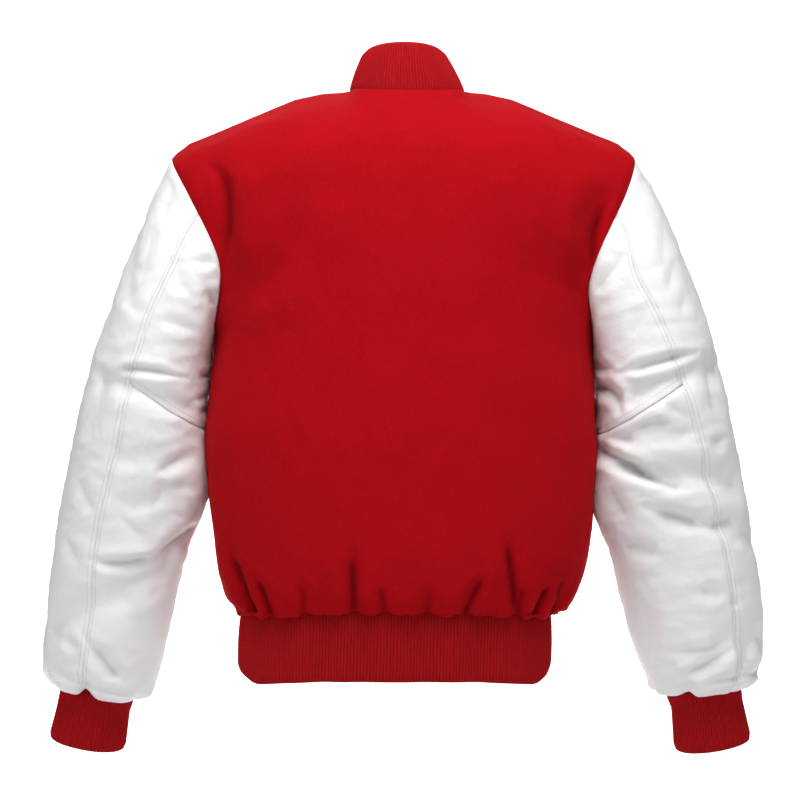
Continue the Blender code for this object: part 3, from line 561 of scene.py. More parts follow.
def centre_line(level):
    """How far across the body's middle lies at a level."""
    return spline(BODY_RINGS, level * (len(BODY_RINGS) - 1)).centre if level < 1.0 else 0.0


def lapped(side, point, level):
    """The point on a front, stepped forward where the left front lies on the right one."""
    return point - Vector((0.0, lap(side, point.x - centre_line(level)), 0.0))


@functools.lru_cache(maxsize=None)
def free_edge_place(side, level):
    """The place, past the centre line, where a front's free edge lies at a level."""
    near, far = 0.0, FREE_EDGE_LIMIT
    for _ in range(FREE_EDGE_HALVINGS):
        middle = 0.5 * (near + far)
        reach = abs(body_point(FRONT, -side * middle, level).x - centre_line(level))
        near, far = (middle, far) if reach < OVERLAP else (near, middle)
    return near


def front_at(side, column, level):
    """A point of a front: column 0 is its free edge past the centre, 1 the centre and the last the side."""
    if column >= 1:
        place = side * (column - 1) / HALF_COLUMNS
    else:
        place = -side * free_edge_place(side, level) * (1 - column)
    return lapped(side, body_point(FRONT, place, level), level)


def section_frame(section, side):
    """Centre, outward half axis and backward unit axis of a sleeve section."""
    outer = Vector((side * section.outer_x, section.behind, section.outer_z))
    inner = Vector((side * section.inner_x, section.behind, section.inner_z))
    lean = math.radians(section.lean)
    return 0.5 * (outer + inner), 0.5 * (outer - inner), Vector((0.0, math.cos(lean), -math.sin(lean)))


def section_point(section, side, degrees):
    """A point of a section: 0 is its outer point, 90 the back, 180 the inner point and 270 the front."""
    centre, outward, backward = section_frame(section, side)
    angle = math.radians(degrees)
    across = power(math.cos(angle), 2.0 / SLEEVE_SQUARE)
    deep = power(math.sin(angle), 2.0 / SLEEVE_SQUARE)
    return centre + outward * across + backward * (deep * (section.back if deep > 0 else section.front))


def unrolled(turn, at):
    """A place on a sleeve laid flat, near enough to measure its folds by."""
    return Vector((math.radians(turn) * SLEEVE_RADIUS, at * SECTION_RUN))


def sleeve_point(side, turn, at):
    """A point of a sleeve's skin; turn is 0..360 round from the outer point, at is its place in the table."""
    rows = SLEEVES[side]
    section = spline(rows, at)
    slip = section.turn * smoothstep(at / TURN_RUN)
    point = section_point(section, side, turn - slip)
    if at < ARMHOLE_BLEND:
        share = 1.0 - turn / 180.0 if turn <= 180.0 else turn / 180.0 - 1.0
        seam = armhole(side, BACK if turn <= 180.0 else FRONT, share)
        point += (seam - section_point(rows[0], side, turn)) * (1.0 - smoothstep(at / ARMHOLE_BLEND))
    centre, _, _ = section_frame(section, side)
    outward = (point - centre).normalized()
    calm = smoothstep(at / FOLD_START) * smoothstep((len(rows) - FOLD_END - at) / FOLD_END_FADE)
    flat = unrolled(turn if turn < FOLD_TURN_END else turn - 360.0, at)
    for fold in SLEEVE_FOLDS[side]:
        start = unrolled(fold.from_turn, fold.from_section)
        end = unrolled(fold.to_turn, fold.to_section)
        point += outward * (calm * fold.depth * fold_share(flat, start, end, fold.width))
    last = len(rows) - 1
    pinch = smoothstep((at - last + PINCH_START) / PINCH_RUN) * smoothstep((last - at) / PINCH_END)
    wave = math.cos(math.radians(turn) * CUFF_GATHERS + CUFF_GATHER_SWAY * math.sin(math.radians(2 * turn)))
    return point + outward * (CUFF_GATHER_DEPTH * pinch * wave)


def cuff_point(side, turn, share):
    """A point of a cuff's skin, from the sleeve's end (0) through the waist to the mouth (1)."""
    rows = SLEEVES[side]
    top = sleeve_point(side, turn, len(rows) - 1)
    slip = rows[-1].turn

    def ring(end):
        section = Section(*end[:4], 0, end.half_depth, end.half_depth, end.behind, rows[-1].lean)
        return section_point(section, side, turn - slip)

    waist = ring(CUFF_WAIST[side])
    if share < WAIST_SHARE:
        return lerp(top, waist, share / WAIST_SHARE)
    return lerp(waist, ring(CUFF_MOUTH[side]), (share - WAIST_SHARE) / (1.0 - WAIST_SHARE))


def hem_point(side, face, column, share):
    """A point of the hem band's skin, from its seam (0) to its lower edge (1)."""
    if face == BACK:
        top = body_point(BACK, side * column / HALF_COLUMNS, 0.0)
    else:
        top = front_at(side, column, 0.0)
    foot = Vector((top.x + HEM_BAND_SHIFT, top.y * HEM_BAND_TAPER, top.z - HEM_BAND_DEPTH))
    return lerp(top, foot, share)


def collar_point(side, face, out, share):
    """A point of the collar's skin above the neck edge; out is 0 at the centre and 1 at the neck side."""
    if face == BACK:
        base = body_point(BACK, side * out * NECK_SHARE, 2.0)
    else:
        base = lapped(side, body_point(FRONT, side * out * NECK_SHARE, 2.0), 2.0)
    angle = 0.5 * math.pi * out
    forward = 0.0 if face == BACK else math.cos(angle)
    neck_share = base.x / NECK_SIDE[side]
    top_height = COLLAR_TOP - COLLAR_SIDE_DROP * out**3
    lean = Vector((-COLLAR_LEAN_SIDE[side] * neck_share, -COLLAR_LEAN_DEPTH * math.cos(angle), 0.0))
    if face == FRONT:
        side_depth = COLLAR_TOP - COLLAR_SIDE_DROP - NECK_SIDE_HEIGHT
        top_height = base.z + lerp(side_depth, COLLAR_FRONT_DEPTH, forward)
        top_height -= COLLAR_ROUNDING * (1.0 - smoothstep(out / COLLAR_CORNER))
        lean.y = COLLAR_LEAN_DEPTH * COLLAR_FRONT_LEAN * forward
    top = Vector((base.x, base.y, top_height)) + lean
    bulge = Vector((neck_share, base.y / COLLAR_HALF_DEPTH, 0.0)) * (COLLAR_BULGE * math.sin(math.pi * share))
    return lerp(base, top, share) + bulge


# How finely each shell is sampled, how many of its faces are asked which way it faces, and how near to each
# other its rows are when they are joined
BODY_FINE = 110
BODY_FINE_ROWS = 108
HEM_FINE_ROWS = 44
HEM_FINE_LEVEL = 0.40
FRONT_FINE = 90
SLEEVE_FINE = 220
SLEEVE_FINE_STEP = 21
RIB_SAMPLES = 6
BAND_ROWS = 12
FACES_ASKED = 4000
JOIN_DISTANCE = 2e-7

# Creases: how they fade round the jacket's sides, pieces that each is measured in, widths that it reaches to,
# shares of its length that fade in and out, width and depth left at its ends, how steeply sharp and soft ones
# fall, the lip beside them, and how wide and how much shade is painted into their colour
EDGE_ON_SHARE, FACING_RUN = 0.15, 0.4
CREASE_PIECES = 12
CREASE_REACH = 4.0
CREASE_START, CREASE_END = 0.38, 0.22
END_WIDTH, END_DEPTH = 0.55, 0.25
SHARP_WIDTH = 0.0095
SHARP_BITE, SOFT_BITE = 1.05, 1.6
CREASE_LIP = 0.42
SHALLOW = 0.0013
WOOL_FULL_SHADE_DEPTH, LEATHER_FULL_SHADE_DEPTH = 0.0046, 0.0042
PAINTED_SHADE_WIDTH = 0.55
SOFT_PAINTED_SHADE = 0.25
LEATHER_CREASE_GAIN = 1.5

# Uneven swells of each cloth: height, length and what is added to the seed
RIPPLE_BEND = 0.12
BACK_SEED, FRONT_SEED = 21, 31
WOOL_SWELLS = ((0.0013, 0.13, 0), (0.0005, 0.045, 5))
LEATHER_SWELLS = ((0.0011, 0.075, 3), (0.00045, 0.026, 11))
LEATHER_STRETCH = np.array((1.0, 1.0, 1.5))

# Seams: the ditch that the stitching pulls and the puff of cloth beside it
DITCH_WIDTH = 0.0022
PUFF_WIDTH = 0.0085
Seam = namedtuple("Seam", "ditch puff")
HEM_SEAM = Seam(0.0012, 0.0022)
BODY_SEAM = Seam(0.0003, 0.0008)
ARMHOLE_SEAM = Seam(0.0005, 0.0008)
CUFF_SEAM = Seam(0.0010, 0.0010)
SLEEVE_SEAM = Seam(0.0006, 0.0004)
ABOVE_ELBOW_SEAM = Seam(0.0004, 0.0008)
BELOW_ELBOW_SEAM = Seam(0.0016, 0.0004)

# Distance from a seam within which it holds the cloth flat
HEM_CALM, BODY_CALM, ARMHOLE_CALM, CUFF_CALM = 0.0035, 0.012, 0.010, 0.008

# Small gathers at the hem seam: their height, their length, where they begin and end above it, and how they
# are drawn out upwards. At the sides the cloth is pulled in above the band.
DRAWN_HEIGHT, DRAWN_LENGTH, DRAWN_START, DRAWN_RUN = 0.0017, 0.017, 0.0025, 0.020
DRAWN_STRETCH = np.array((1.0, 1.0, 0.22))
SIDE_PULL, SIDE_PULL_HEIGHT, SIDE_PULL_RUN = 0.0090, 0.012, 0.0100
SIDE_START = 0.72

# Rib knit
KNIT_COURSE = 0.0024
KNIT_SWELL, KNIT_SWELL_LENGTH = 0.0006, 0.11
KNIT_DITCH, KNIT_DITCH_WIDTH = 0.0008, 0.002
FOOT_ROUNDING, FOOT_TURN, FOOT_THINNING = 0.005, 0.004, 0.30
RIB_ROUNDNESS, RIB_AT_SEAM, RIB_SEAM_RUN = 2.5, 0.35, 0.006
KNIT_SEED = 41
TUCK_IN = 0.045
CUFF_TUCK_IN = 0.24
BAND_BULGE = 0.0016
BAND_CORNER = 0.024
BAND_CORNER_SHARE = 0.33

# The leather's edge above a cuff: how high it is lifted and over what run. A notch is pulled in at the back
# of it, over a run of its own, and shade is painted into its colour there by the last number.
CUFF_LIFT, CUFF_LIFT_RUN = 0.0055, 0.030
NOTCH_RUN, NOTCH_PULL, NOTCH_BEHIND, NOTCH_PAINTED_SHADE = 0.026, 0.0026, 0.012, 0.6

# Topstitching: distance from a seam, a stitch's half length as a share of its pitch, and how far it stands up
# and its ends sink, as shares of the thread
STITCH_INSET = 0.0045
ELBOW_STITCH_INSET = 0.0070
STITCH_HALF = 0.40
STITCH_RISE = 0.18
STITCH_SINK = 0.45

# Creases as drawn on the jacket seen from behind or from the front: a start, middle and end, each across
# and up, then the half width, the depth (negative for a ridge) and how far one lip rolls over the other.
Crease = namedtuple("Crease", "x0 z0 x1 z1 x2 z2 width depth roll", defaults=(0.0,))
BACK_CREASES = table(
    Crease,
    (0.195, -0.103, 0.187, -0.131, 0.188, -0.201, 0.013, 0.003),
    (0.206, -0.094, 0.188, -0.128, 0.193, -0.205, 0.006, 0.0036, 0.3),
    (-0.213, -0.129, -0.204, -0.157, -0.194, -0.197, 0.013, 0.003),
    (-0.218, -0.131, -0.204, -0.163, -0.2, -0.208, 0.006, 0.0036, 0.3),
    (0.115, -0.186, 0.138, -0.212, 0.163, -0.238, 0.016, 0.0024),
    (-0.161, -0.186, -0.177, -0.227, -0.182, -0.269, 0.018, 0.0018),
    (0.189, -0.498, 0.174, -0.532, 0.155, -0.584, 0.007, 0.0061, 0.3),
    (0.157, -0.527, 0.148, -0.545, 0.134, -0.584, 0.006, 0.0049),
    (0.053, -0.498, 0.053, -0.527, 0.05, -0.584, 0.008, 0.0046),
    (0.024, -0.535, 0.022, -0.547, 0.017, -0.584, 0.006, 0.0034),
    (0.107, -0.532, 0.105, -0.546, 0.103, -0.584, 0.007, 0.003),
    (-0.027, -0.537, -0.026, -0.548, -0.024, -0.584, 0.007, 0.0027),
    (-0.083, -0.527, -0.074, -0.542, -0.055, -0.584, 0.007, 0.0046),
    (-0.107, -0.485, -0.112, -0.516, -0.12, -0.584, 0.008, 0.0049),
    (-0.127, -0.539, -0.124, -0.55, -0.117, -0.584, 0.006, 0.0034),
    (-0.154, -0.537, -0.147, -0.549, -0.132, -0.584, 0.006, 0.0046),
    (-0.17, -0.533, -0.166, -0.545, -0.159, -0.584, 0.006, 0.0038),
    (-0.144, -0.518, -0.161, -0.525, -0.18, -0.53, 0.008, 0.0018, 0.3),
)
LEFT_SLEEVE_CREASES = table(
    Crease,
    (0.247, -0.11, 0.252, -0.127, 0.258, -0.144, 0.005, 0.001),
    (0.266, -0.153, 0.272, -0.182, 0.279, -0.22, 0.006, 0.0011),
    (0.237, -0.195, 0.237, -0.216, 0.225, -0.23, 0.006, 0.0013, 0.3),
    (0.221, -0.195, 0.211, -0.196, 0.2, -0.196, 0.005, 0.0016),
    (0.211, -0.223, 0.204, -0.231, 0.2, -0.242, 0.007, 0.0024),
    (0.292, -0.241, 0.282, -0.246, 0.272, -0.251, 0.006, 0.001),
    (0.26, -0.257, 0.242, -0.261, 0.221, -0.268, 0.006, 0.0014, 0.3),
    (0.3, -0.313, 0.282, -0.308, 0.231, -0.317, 0.004, 0.0028, -0.6),
    (0.219, -0.318, 0.211, -0.314, 0.204, -0.31, 0.004, 0.0024),
    (0.226, -0.343, 0.217, -0.34, 0.207, -0.337, 0.004, 0.0016),
    (0.22, -0.356, 0.214, -0.352, 0.207, -0.347, 0.004, 0.0014),
    (0.32, -0.313, 0.327, -0.346, 0.336, -0.386, 0.01, 0.0018),
    (0.231, -0.395, 0.247, -0.408, 0.262, -0.419, 0.006, 0.0024, 0.4),
    (0.256, -0.42, 0.258, -0.439, 0.267, -0.454, 0.006, 0.0014),
    (0.349, -0.418, 0.342, -0.443, 0.332, -0.462, 0.007, 0.0012),
    (0.366, -0.489, 0.358, -0.503, 0.351, -0.517, 0.007, 0.0018),
    (0.334, -0.511, 0.302, -0.516, 0.266, -0.509, 0.006, 0.0034, -0.6),
    (0.272, -0.512, 0.248, -0.494, 0.228, -0.472, 0.007, 0.0038, -0.6),
    (0.233, -0.477, 0.223, -0.458, 0.217, -0.439, 0.007, 0.003, -0.4),
    (0.303, -0.464, 0.289, -0.48, 0.271, -0.488, 0.008, 0.0014),
    (0.374, -0.6, 0.361, -0.604, 0.349, -0.607, 0.006, 0.0015),
    (0.347, -0.596, 0.324, -0.625, 0.307, -0.649, 0.007, 0.003, 0.4),
    (0.298, -0.556, 0.284, -0.583, 0.282, -0.616, 0.01, 0.0016),
    (0.273, -0.556, 0.267, -0.548, 0.262, -0.54, 0.007, 0.0013),
)
RIGHT_SLEEVE_CREASES = table(
    Crease,
    (-0.231, -0.19, -0.216, -0.21, -0.201, -0.227, 0.006, 0.0016, 0.3),
    (-0.278, -0.16, -0.277, -0.176, -0.276, -0.192, 0.006, 0.001),
    (-0.288, -0.197, -0.285, -0.21, -0.282, -0.223, 0.006, 0.0011),
    (-0.3, -0.232, -0.297, -0.243, -0.294, -0.253, 0.006, 0.0011),
    (-0.25, -0.254, -0.245, -0.264, -0.239, -0.274, 0.006, 0.0012),
    (-0.311, -0.292, -0.276, -0.301, -0.231, -0.313, 0.005, 0.004, -0.6),
    (-0.192, -0.306, -0.208, -0.307, -0.221, -0.308, 0.005, 0.002),
    (-0.19, -0.334, -0.216, -0.33, -0.23, -0.354, 0.0055, 0.0038, 0.3),
    (-0.236, -0.378, -0.262, -0.368, -0.285, -0.368, 0.006, 0.0022, -0.3),
    (-0.218, -0.382, -0.232, -0.384, -0.245, -0.386, 0.005, 0.0016),
    (-0.271, -0.343, -0.289, -0.353, -0.308, -0.36, 0.008, 0.0018),
    (-0.323, -0.292, -0.328, -0.325, -0.332, -0.364, 0.008, 0.002),
    (-0.328, -0.391, -0.335, -0.387, -0.343, -0.382, 0.006, 0.0016),
    (-0.186, -0.376, -0.226, -0.405, -0.268, -0.427, 0.006, 0.0046, 0.4),
    (-0.24, -0.414, -0.272, -0.427, -0.3, -0.437, 0.007, 0.0036, 0.5),
    (-0.258, -0.458, -0.291, -0.468, -0.319, -0.477, 0.007, 0.0032, 0.5),
    (-0.315, -0.477, -0.34, -0.476, -0.357, -0.468, 0.007, 0.0026, 0.3),
    (-0.233, -0.494, -0.253, -0.502, -0.275, -0.508, 0.008, 0.0022),
    (-0.309, -0.547, -0.328, -0.549, -0.346, -0.552, 0.007, 0.002),
    (-0.351, -0.556, -0.356, -0.559, -0.362, -0.563, 0.005, 0.0018),
    (-0.284, -0.613, -0.32, -0.613, -0.348, -0.602, 0.007, 0.0024, -0.3),
    (-0.301, -0.639, -0.324, -0.63, -0.352, -0.613, 0.007, 0.0028, -0.3),
    (-0.368, -0.589, -0.369, -0.616, -0.368, -0.646, 0.006, 0.0018),
    (-0.38, -0.6, -0.374, -0.622, -0.371, -0.644, 0.006, 0.0016),
    (-0.254, -0.556, -0.265, -0.583, -0.271, -0.611, 0.01, 0.0016),
    (-0.222, -0.426, -0.229, -0.448, -0.24, -0.469, 0.008, 0.0022),
)
FRONT_CREASES = table(
    Crease,
    (0.19, -0.11, 0.182, -0.15, 0.186, -0.205, 0.013, 0.0028),
    (-0.194, -0.115, -0.186, -0.155, -0.188, -0.21, 0.013, 0.0028),
    (0.105, -0.19, 0.135, -0.214, 0.16, -0.245, 0.016, 0.0022),
    (-0.11, -0.18, -0.138, -0.208, -0.158, -0.24, 0.016, 0.0022),
    (0.06, -0.5, 0.058, -0.53, 0.053, -0.584, 0.008, 0.0046),
    (0.098, -0.515, 0.1, -0.54, 0.093, -0.584, 0.007, 0.0046, 0.2),
    (0.14, -0.51, 0.136, -0.538, 0.125, -0.584, 0.008, 0.0053),
    (0.172, -0.53, 0.166, -0.545, 0.153, -0.584, 0.006, 0.0038),
    (-0.052, -0.505, -0.05, -0.534, -0.043, -0.584, 0.008, 0.0042),
    (-0.09, -0.51, -0.088, -0.536, -0.078, -0.584, 0.007, 0.0049, 0.2),
    (-0.128, -0.52, -0.124, -0.54, -0.113, -0.584, 0.007, 0.0042),
    (-0.16, -0.515, -0.154, -0.54, -0.143, -0.584, 0.007, 0.0049),
)
SLEEVE_FRONT_CREASES = table(
    Crease,
    (0.222, -0.205, 0.236, -0.226, 0.258, -0.24, 0.006, 0.0018, 0.3),
    (0.216, -0.258, 0.24, -0.268, 0.268, -0.268, 0.007, 0.0022),
    (0.228, -0.31, 0.262, -0.306, 0.3, -0.318, 0.006, 0.0034, -0.5),
    (0.234, -0.352, 0.262, -0.344, 0.296, -0.352, 0.007, 0.003, 0.4),
    (0.226, -0.392, 0.258, -0.398, 0.286, -0.388, 0.007, 0.0032, -0.4),
    (0.25, -0.44, 0.28, -0.432, 0.314, -0.44, 0.008, 0.0024),
    (0.342, -0.34, 0.348, -0.372, 0.352, -0.404, 0.008, 0.0014),
    (0.264, -0.512, 0.3, -0.52, 0.338, -0.508, 0.008, 0.0026, 0.3),
    (0.29, -0.566, 0.32, -0.576, 0.352, -0.57, 0.008, 0.002),
    (0.3, -0.64, 0.326, -0.626, 0.358, -0.616, 0.007, 0.0024, -0.3),
    (0.358, -0.59, 0.364, -0.616, 0.362, -0.644, 0.006, 0.0016),
)

# Each piece's cut when it lies flat: the smallest rectangle round it, its area, how it is held and by what
Cut = namedtuple("Cut", "width length area held rests_on")
CUTS = {
    "back": Cut(0.640, 0.665, 0.322, "gathered", ("wearer_shoulders",)),
    "front_left": Cut(0.375, 0.645, 0.160, "gathered", ("wearer_shoulders",)),
    "front_right": Cut(0.375, 0.645, 0.161, "gathered", ("wearer_shoulders",)),
    "top_sleeve_left": Cut(0.295, 0.630, 0.137, "hung", ("back_cloth", "front_left_cloth")),
    "top_sleeve_right": Cut(0.295, 0.630, 0.139, "hung", ("back_cloth", "front_right_cloth")),
    "under_sleeve_upper_left": Cut(0.285, 0.195, 0.032, "hung", ("back_cloth", "front_left_cloth")),
    "under_sleeve_upper_right": Cut(0.285, 0.200, 0.034, "hung", ("back_cloth", "front_right_cloth")),
    "under_sleeve_lower_left": Cut(0.250, 0.385, 0.075, "hung", ("under_sleeve_upper_left_cloth",)),
    "under_sleeve_lower_right": Cut(0.255, 0.385, 0.0765, "hung", ("under_sleeve_upper_right_cloth",)),
    "collar": Cut(0.480, 0.056, 0.0215, "stretched", ("back_cloth",)),
    "hem_band": Cut(0.970, 0.074, 0.071, "stretched", ("back_cloth",)),
    "cuff_left": Cut(0.250, 0.061, 0.0148, "stretched", ("top_sleeve_left_cloth",)),
    "cuff_right": Cut(0.255, 0.067, 0.0165, "stretched", ("top_sleeve_right_cloth",)),
}
SLEEVE_CREASES = {LEFT: LEFT_SLEEVE_CREASES, RIGHT: RIGHT_SLEEVE_CREASES}
WORDS = {LEFT: "left", RIGHT: "right"}


def as_array(rows):
    return np.array([[tuple(point) for point in row] for row in rows])


def surface_normals(points, wraps=False):
    """Unit normals of a grid of points, by rows crossed with columns."""
    along_rows = np.gradient(points, axis=0)
    if wraps:
        padded_grid = np.concatenate([points[:, -2:-1], points, points[:, 1:2]], axis=1)
        along_columns = np.gradient(padded_grid, axis=1)[:, 1:-1]
    else:
        along_columns = np.gradient(points, axis=1)
    normals = np.cross(along_columns, along_rows)
    length = np.linalg.norm(normals, axis=2, keepdims=True)
    return normals / np.maximum(length, 1e-12)


def turned_out(points, normals, middle):
    """The normals, turned to face away from middle points of the same shape."""
    facing = np.sum(normals * (points - middle))
    return normals if facing > 0 else -normals


def soft_step(value):
    """smoothstep for arrays."""
    t = np.clip(value, 0.0, 1.0)
    return t * t * (3.0 - 2.0 * t)


def bell(distance, width):
    """1 at no distance, falling smoothly away over the width."""
    return np.exp(-((distance / width) ** 2))


def ripple(points, size, seed):
    """A soft, uneven swell from -1 to 1 with no repeat, about size long."""
    chance = np.random.default_rng(seed)
    total = np.zeros(points.shape[:-1])
    bent = points / size
    for octave in range(3):
        ways = chance.normal(size=(3, 3))
        ways /= np.linalg.norm(ways, axis=1, keepdims=True)
        phases = chance.uniform(0.0, 2.0 * math.pi, 3)
        waves = [np.sin(2.0 * math.pi * (bent @ way) * (0.7 + 0.55 * octave) + phase)
                 for way, phase in zip(ways, phases)]
        total += waves[0] * waves[1] + 0.5 * waves[2]
        bent = bent + RIPPLE_BEND * np.stack(waves, axis=-1)
    return total / 3.0


def swelling(points, swells, seed):
    """A cloth's uneven swells together."""
    return sum(height * ripple(points, length, seed + step) for height, length, step in swells)


def crease_path(crease):
    """Points along a crease, on the curve through its start, middle and end."""
    start, middle, end = (np.array(crease[n : n + 2]) for n in (0, 2, 4))
    control = 2.0 * middle - 0.5 * (start + end)
    shares = np.linspace(0.0, 1.0, CREASE_PIECES + 1)[:, None]
    return (1 - shares) ** 2 * start + 2 * shares * (1 - shares) * control + shares**2 * end


def nearest_on(path, spots):
    """Each spot's distance from a path, which side of it the spot is on and how far along it (0 to 1)."""
    best = np.full(len(spots), np.inf)
    side, along = np.zeros((2, len(spots)))
    for n, (a, b) in enumerate(zip(path, path[1:])):
        run = b - a
        share = np.clip((spots - a) @ run / (run @ run), 0.0, 1.0)
        gap = spots - a - share[:, None] * run
        distance = np.hypot(gap[:, 0], gap[:, 1])
        closer = distance < best
        best[closer] = distance[closer]
        side[closer] = np.sign(run[0] * gap[closer, 1] - run[1] * gap[closer, 0])
        along[closer] = (n + share[closer]) / CREASE_PIECES
    return best, side, along


def crease_relief(across, up, creases, full_shade_depth):
    """Height added by creases at places across and up, and the share of shade painted into each place's
    colour in a fold (1 at full depth).
    """
    relief, fold = np.zeros((2, *across.shape))
    for crease in creases:
        reach = CREASE_REACH * crease.width
        xs, zs = crease[0:6:2], crease[1:6:2]
        near = (across > min(xs) - reach) & (across < max(xs) + reach)
        near &= (up > min(zs) - reach) & (up < max(zs) + reach)
        if not near.any():
            continue
        distance, side, along = nearest_on(crease_path(crease), np.stack([across[near], up[near]], axis=-1))
        sharp = crease.width < SHARP_WIDTH
        ends = soft_step(along / CREASE_START) * soft_step((1.0 - along) / CREASE_END)
        d = distance / (crease.width * lerp(END_WIDTH, 1.0, ends))
        trough = -np.exp(-(d ** (SHARP_BITE if sharp else SOFT_BITE))) + CREASE_LIP * bell(d - 2.1, 1.1)
        roll = crease.roll * side * d * np.exp(-0.5 * d * d)
        depth = crease.depth * lerp(END_DEPTH, 1.0, ends)
        relief[near] += depth * (trough + roll)
        # Painted shade: deep creases darken the colour along their middle, sharp ones fully and soft ones
        # less
        painted_shade = np.clip((depth - SHALLOW) / (full_shade_depth - SHALLOW), 0.0, 1.0) * ends
        painted_shade *= 1.0 if sharp else SOFT_PAINTED_SHADE
        fold[near] = np.maximum(fold[near], painted_shade * bell(d, PAINTED_SHADE_WIDTH))
    return relief, fold


def lengths_along(points):
    """Distance along a row of points from the first to each."""
    return np.concatenate([[0.0], np.cumsum(np.linalg.norm(np.diff(points, axis=0), axis=1))])


def edge_distances(points):
    """Distance along the cloth from each point to the first and last row and the first and last column."""
    up = np.linalg.norm(np.diff(points, axis=0), axis=2)
    over = np.linalg.norm(np.diff(points, axis=1), axis=2)
    from_bottom = np.concatenate([np.zeros((1, points.shape[1])), np.cumsum(up, axis=0)])
    from_left = np.concatenate([np.zeros((points.shape[0], 1)), np.cumsum(over, axis=1)], axis=1)
    return {
        "row0": from_bottom,
        "row1": from_bottom[-1:] - from_bottom,
        "col0": from_left,
        "col1": from_left[:, -1:] - from_left,
    }


def seam_relief(distance, seam):
    """The ditch that stitching pulls along a seam, and the cloth's swell beside it."""
    puffed = bell(distance - PUFF_WIDTH, 0.6 * PUFF_WIDTH)
    return seam.puff * puffed - seam.ditch * bell(distance, DITCH_WIDTH)


def seen_share(normals, face):
    """How far a point belongs to the back (1) or front (-1) of the jacket."""
    return soft_step((face * normals[..., 1] + EDGE_ON_SHARE) / FACING_RUN)


# Where a sleeve billows out to rest against the body: degrees round it and the section it lies at, how far
# it spreads each way and how far out it comes.
Lean = namedtuple("Lean", "turn spread section run depth")
LEAN_ON_BODY = {LEFT: Lean(178.0, 42.0, 5.6, 1.4, 0.0098), RIGHT: Lean(186.0, 42.0, 5.8, 1.3, 0.0084)}

# Where the leather is pulled up above a cuff: how far across, how wide and how high
Notch = namedtuple("Notch", "across width rise")
CUFF_NOTCHES = {LEFT: Notch(0.3465, 0.0075, 0.0075), RIGHT: Notch(-0.3115, 0.0065, 0.0065)}

# A form's points and normals and how far each point lies in a fold (0 to 1), which sets the shade painted
# into its colour. A knit also has its inside and the numbers of the rib and the course that each point lies
# on.
Sheet = namedtuple("Sheet", "points normals fold inside ribs", defaults=(None, None))


def sleeve_creases(side, points, normals):
    """Relief of a sleeve's creases, behind and in front, and the share of shade painted into its folds."""
    x, z = points[..., 0], points[..., 2]
    behind, before = seen_share(normals, BACK), seen_share(normals, FRONT)
    relief, fold = (value * behind for value in crease_relief(x, z, SLEEVE_CREASES[side], LEATHER_FULL_SHADE_DEPTH))
    front_relief, front_fold = crease_relief(side * x, z, SLEEVE_FRONT_CREASES, LEATHER_FULL_SHADE_DEPTH)
    return relief + front_relief * before, fold + front_fold * before


@functools.lru_cache(maxsize=None)
def sleeve_form(side):
    """One whole sleeve from the armhole to the cuff seam, turns by columns and length by rows."""
    last = len(SLEEVES[side]) - 1
    steps = [step / SLEEVE_FINE_STEP for step in range(last * SLEEVE_FINE_STEP + 1)]
    turns = [360.0 * column / SLEEVE_FINE for column in range(SLEEVE_FINE)]
    rows = [[sleeve_point(side, turn, at) for turn in turns] for at in steps]
    points = as_array([row + row[:1] for row in rows])
    middle = points.mean(axis=1, keepdims=True)
    normals = turned_out(points, surface_normals(points, wraps=True), middle)
    relief, fold = sleeve_creases(side, points, normals)
    relief *= LEATHER_CREASE_GAIN * bpy.context.scene.jacket_sizes.crease_depth
    relief += swelling(points * LEATHER_STRETCH, LEATHER_SWELLS, side)
    length = edge_distances(points)
    above_cuff = length["row1"]
    relief *= soft_step(length["row0"] / ARMHOLE_CALM) * soft_step(above_cuff / CUFF_CALM)
    along, around = np.meshgrid(np.array(steps), np.array(turns + [360.0]), indexing="ij")
    lean = LEAN_ON_BODY[side]
    relief += lean.depth * bell(around - lean.turn, lean.spread) * bell(along - lean.section, lean.run)
    relief += seam_relief(length["row0"], ARMHOLE_SEAM) + seam_relief(above_cuff, CUFF_SEAM)
    notch = CUFF_NOTCHES[side]
    pulled = bell(points[..., 0] - notch.across, notch.width) * bell(above_cuff, NOTCH_RUN)
    pulled *= soft_step((points[..., 1] - middle[..., 1]) / NOTCH_BEHIND)
    points = points + normals * (relief - NOTCH_PULL * pulled)[..., None]
    points[..., 2] += notch.rise * pulled + CUFF_LIFT * bell(above_cuff, CUFF_LIFT_RUN)
    # Painted shade: the notch above the cuff is darkened in the colour as well as pulled in
    return Sheet(points, normals, np.maximum(fold, NOTCH_PAINTED_SHADE * pulled))


@functools.lru_cache(maxsize=None)
def sleeve_piece_form(side, first, last, start, end):
    """The part of a sleeve between two lengthwise seams and two cross seams, with its seam ditches."""
    whole = sleeve_form(side)
    per_column = SLEEVE_FINE // SLEEVE_COLUMNS
    columns = [column % SLEEVE_FINE for column in range(first * per_column, last * per_column + 1)]
    rows = slice(start * SLEEVE_FINE_STEP, end * SLEEVE_FINE_STEP + 1)
    points, normals, fold = (values[rows][:, columns] for values in whole[:3])
    length = edge_distances(points)
    relief = seam_relief(length["col0"], SLEEVE_SEAM) + seam_relief(length["col1"], SLEEVE_SEAM)
    if end == ELBOW_SECTION:
        relief += seam_relief(length["row1"], ABOVE_ELBOW_SEAM)
    if start == ELBOW_SECTION:
        relief += seam_relief(length["row0"], BELOW_ELBOW_SEAM)
    return Sheet(points + normals * relief[..., None], normals, fold)


def body_levels_fine():
    """Levels of the body's rows, closer together above the hem, where the cloth is gathered."""
    low = [HEM_FINE_LEVEL * row / HEM_FINE_ROWS for row in range(HEM_FINE_ROWS)]
    rest = 2.0 - HEM_FINE_LEVEL
    return low + [HEM_FINE_LEVEL + rest * row / BODY_FINE_ROWS for row in range(BODY_FINE_ROWS + 1)]


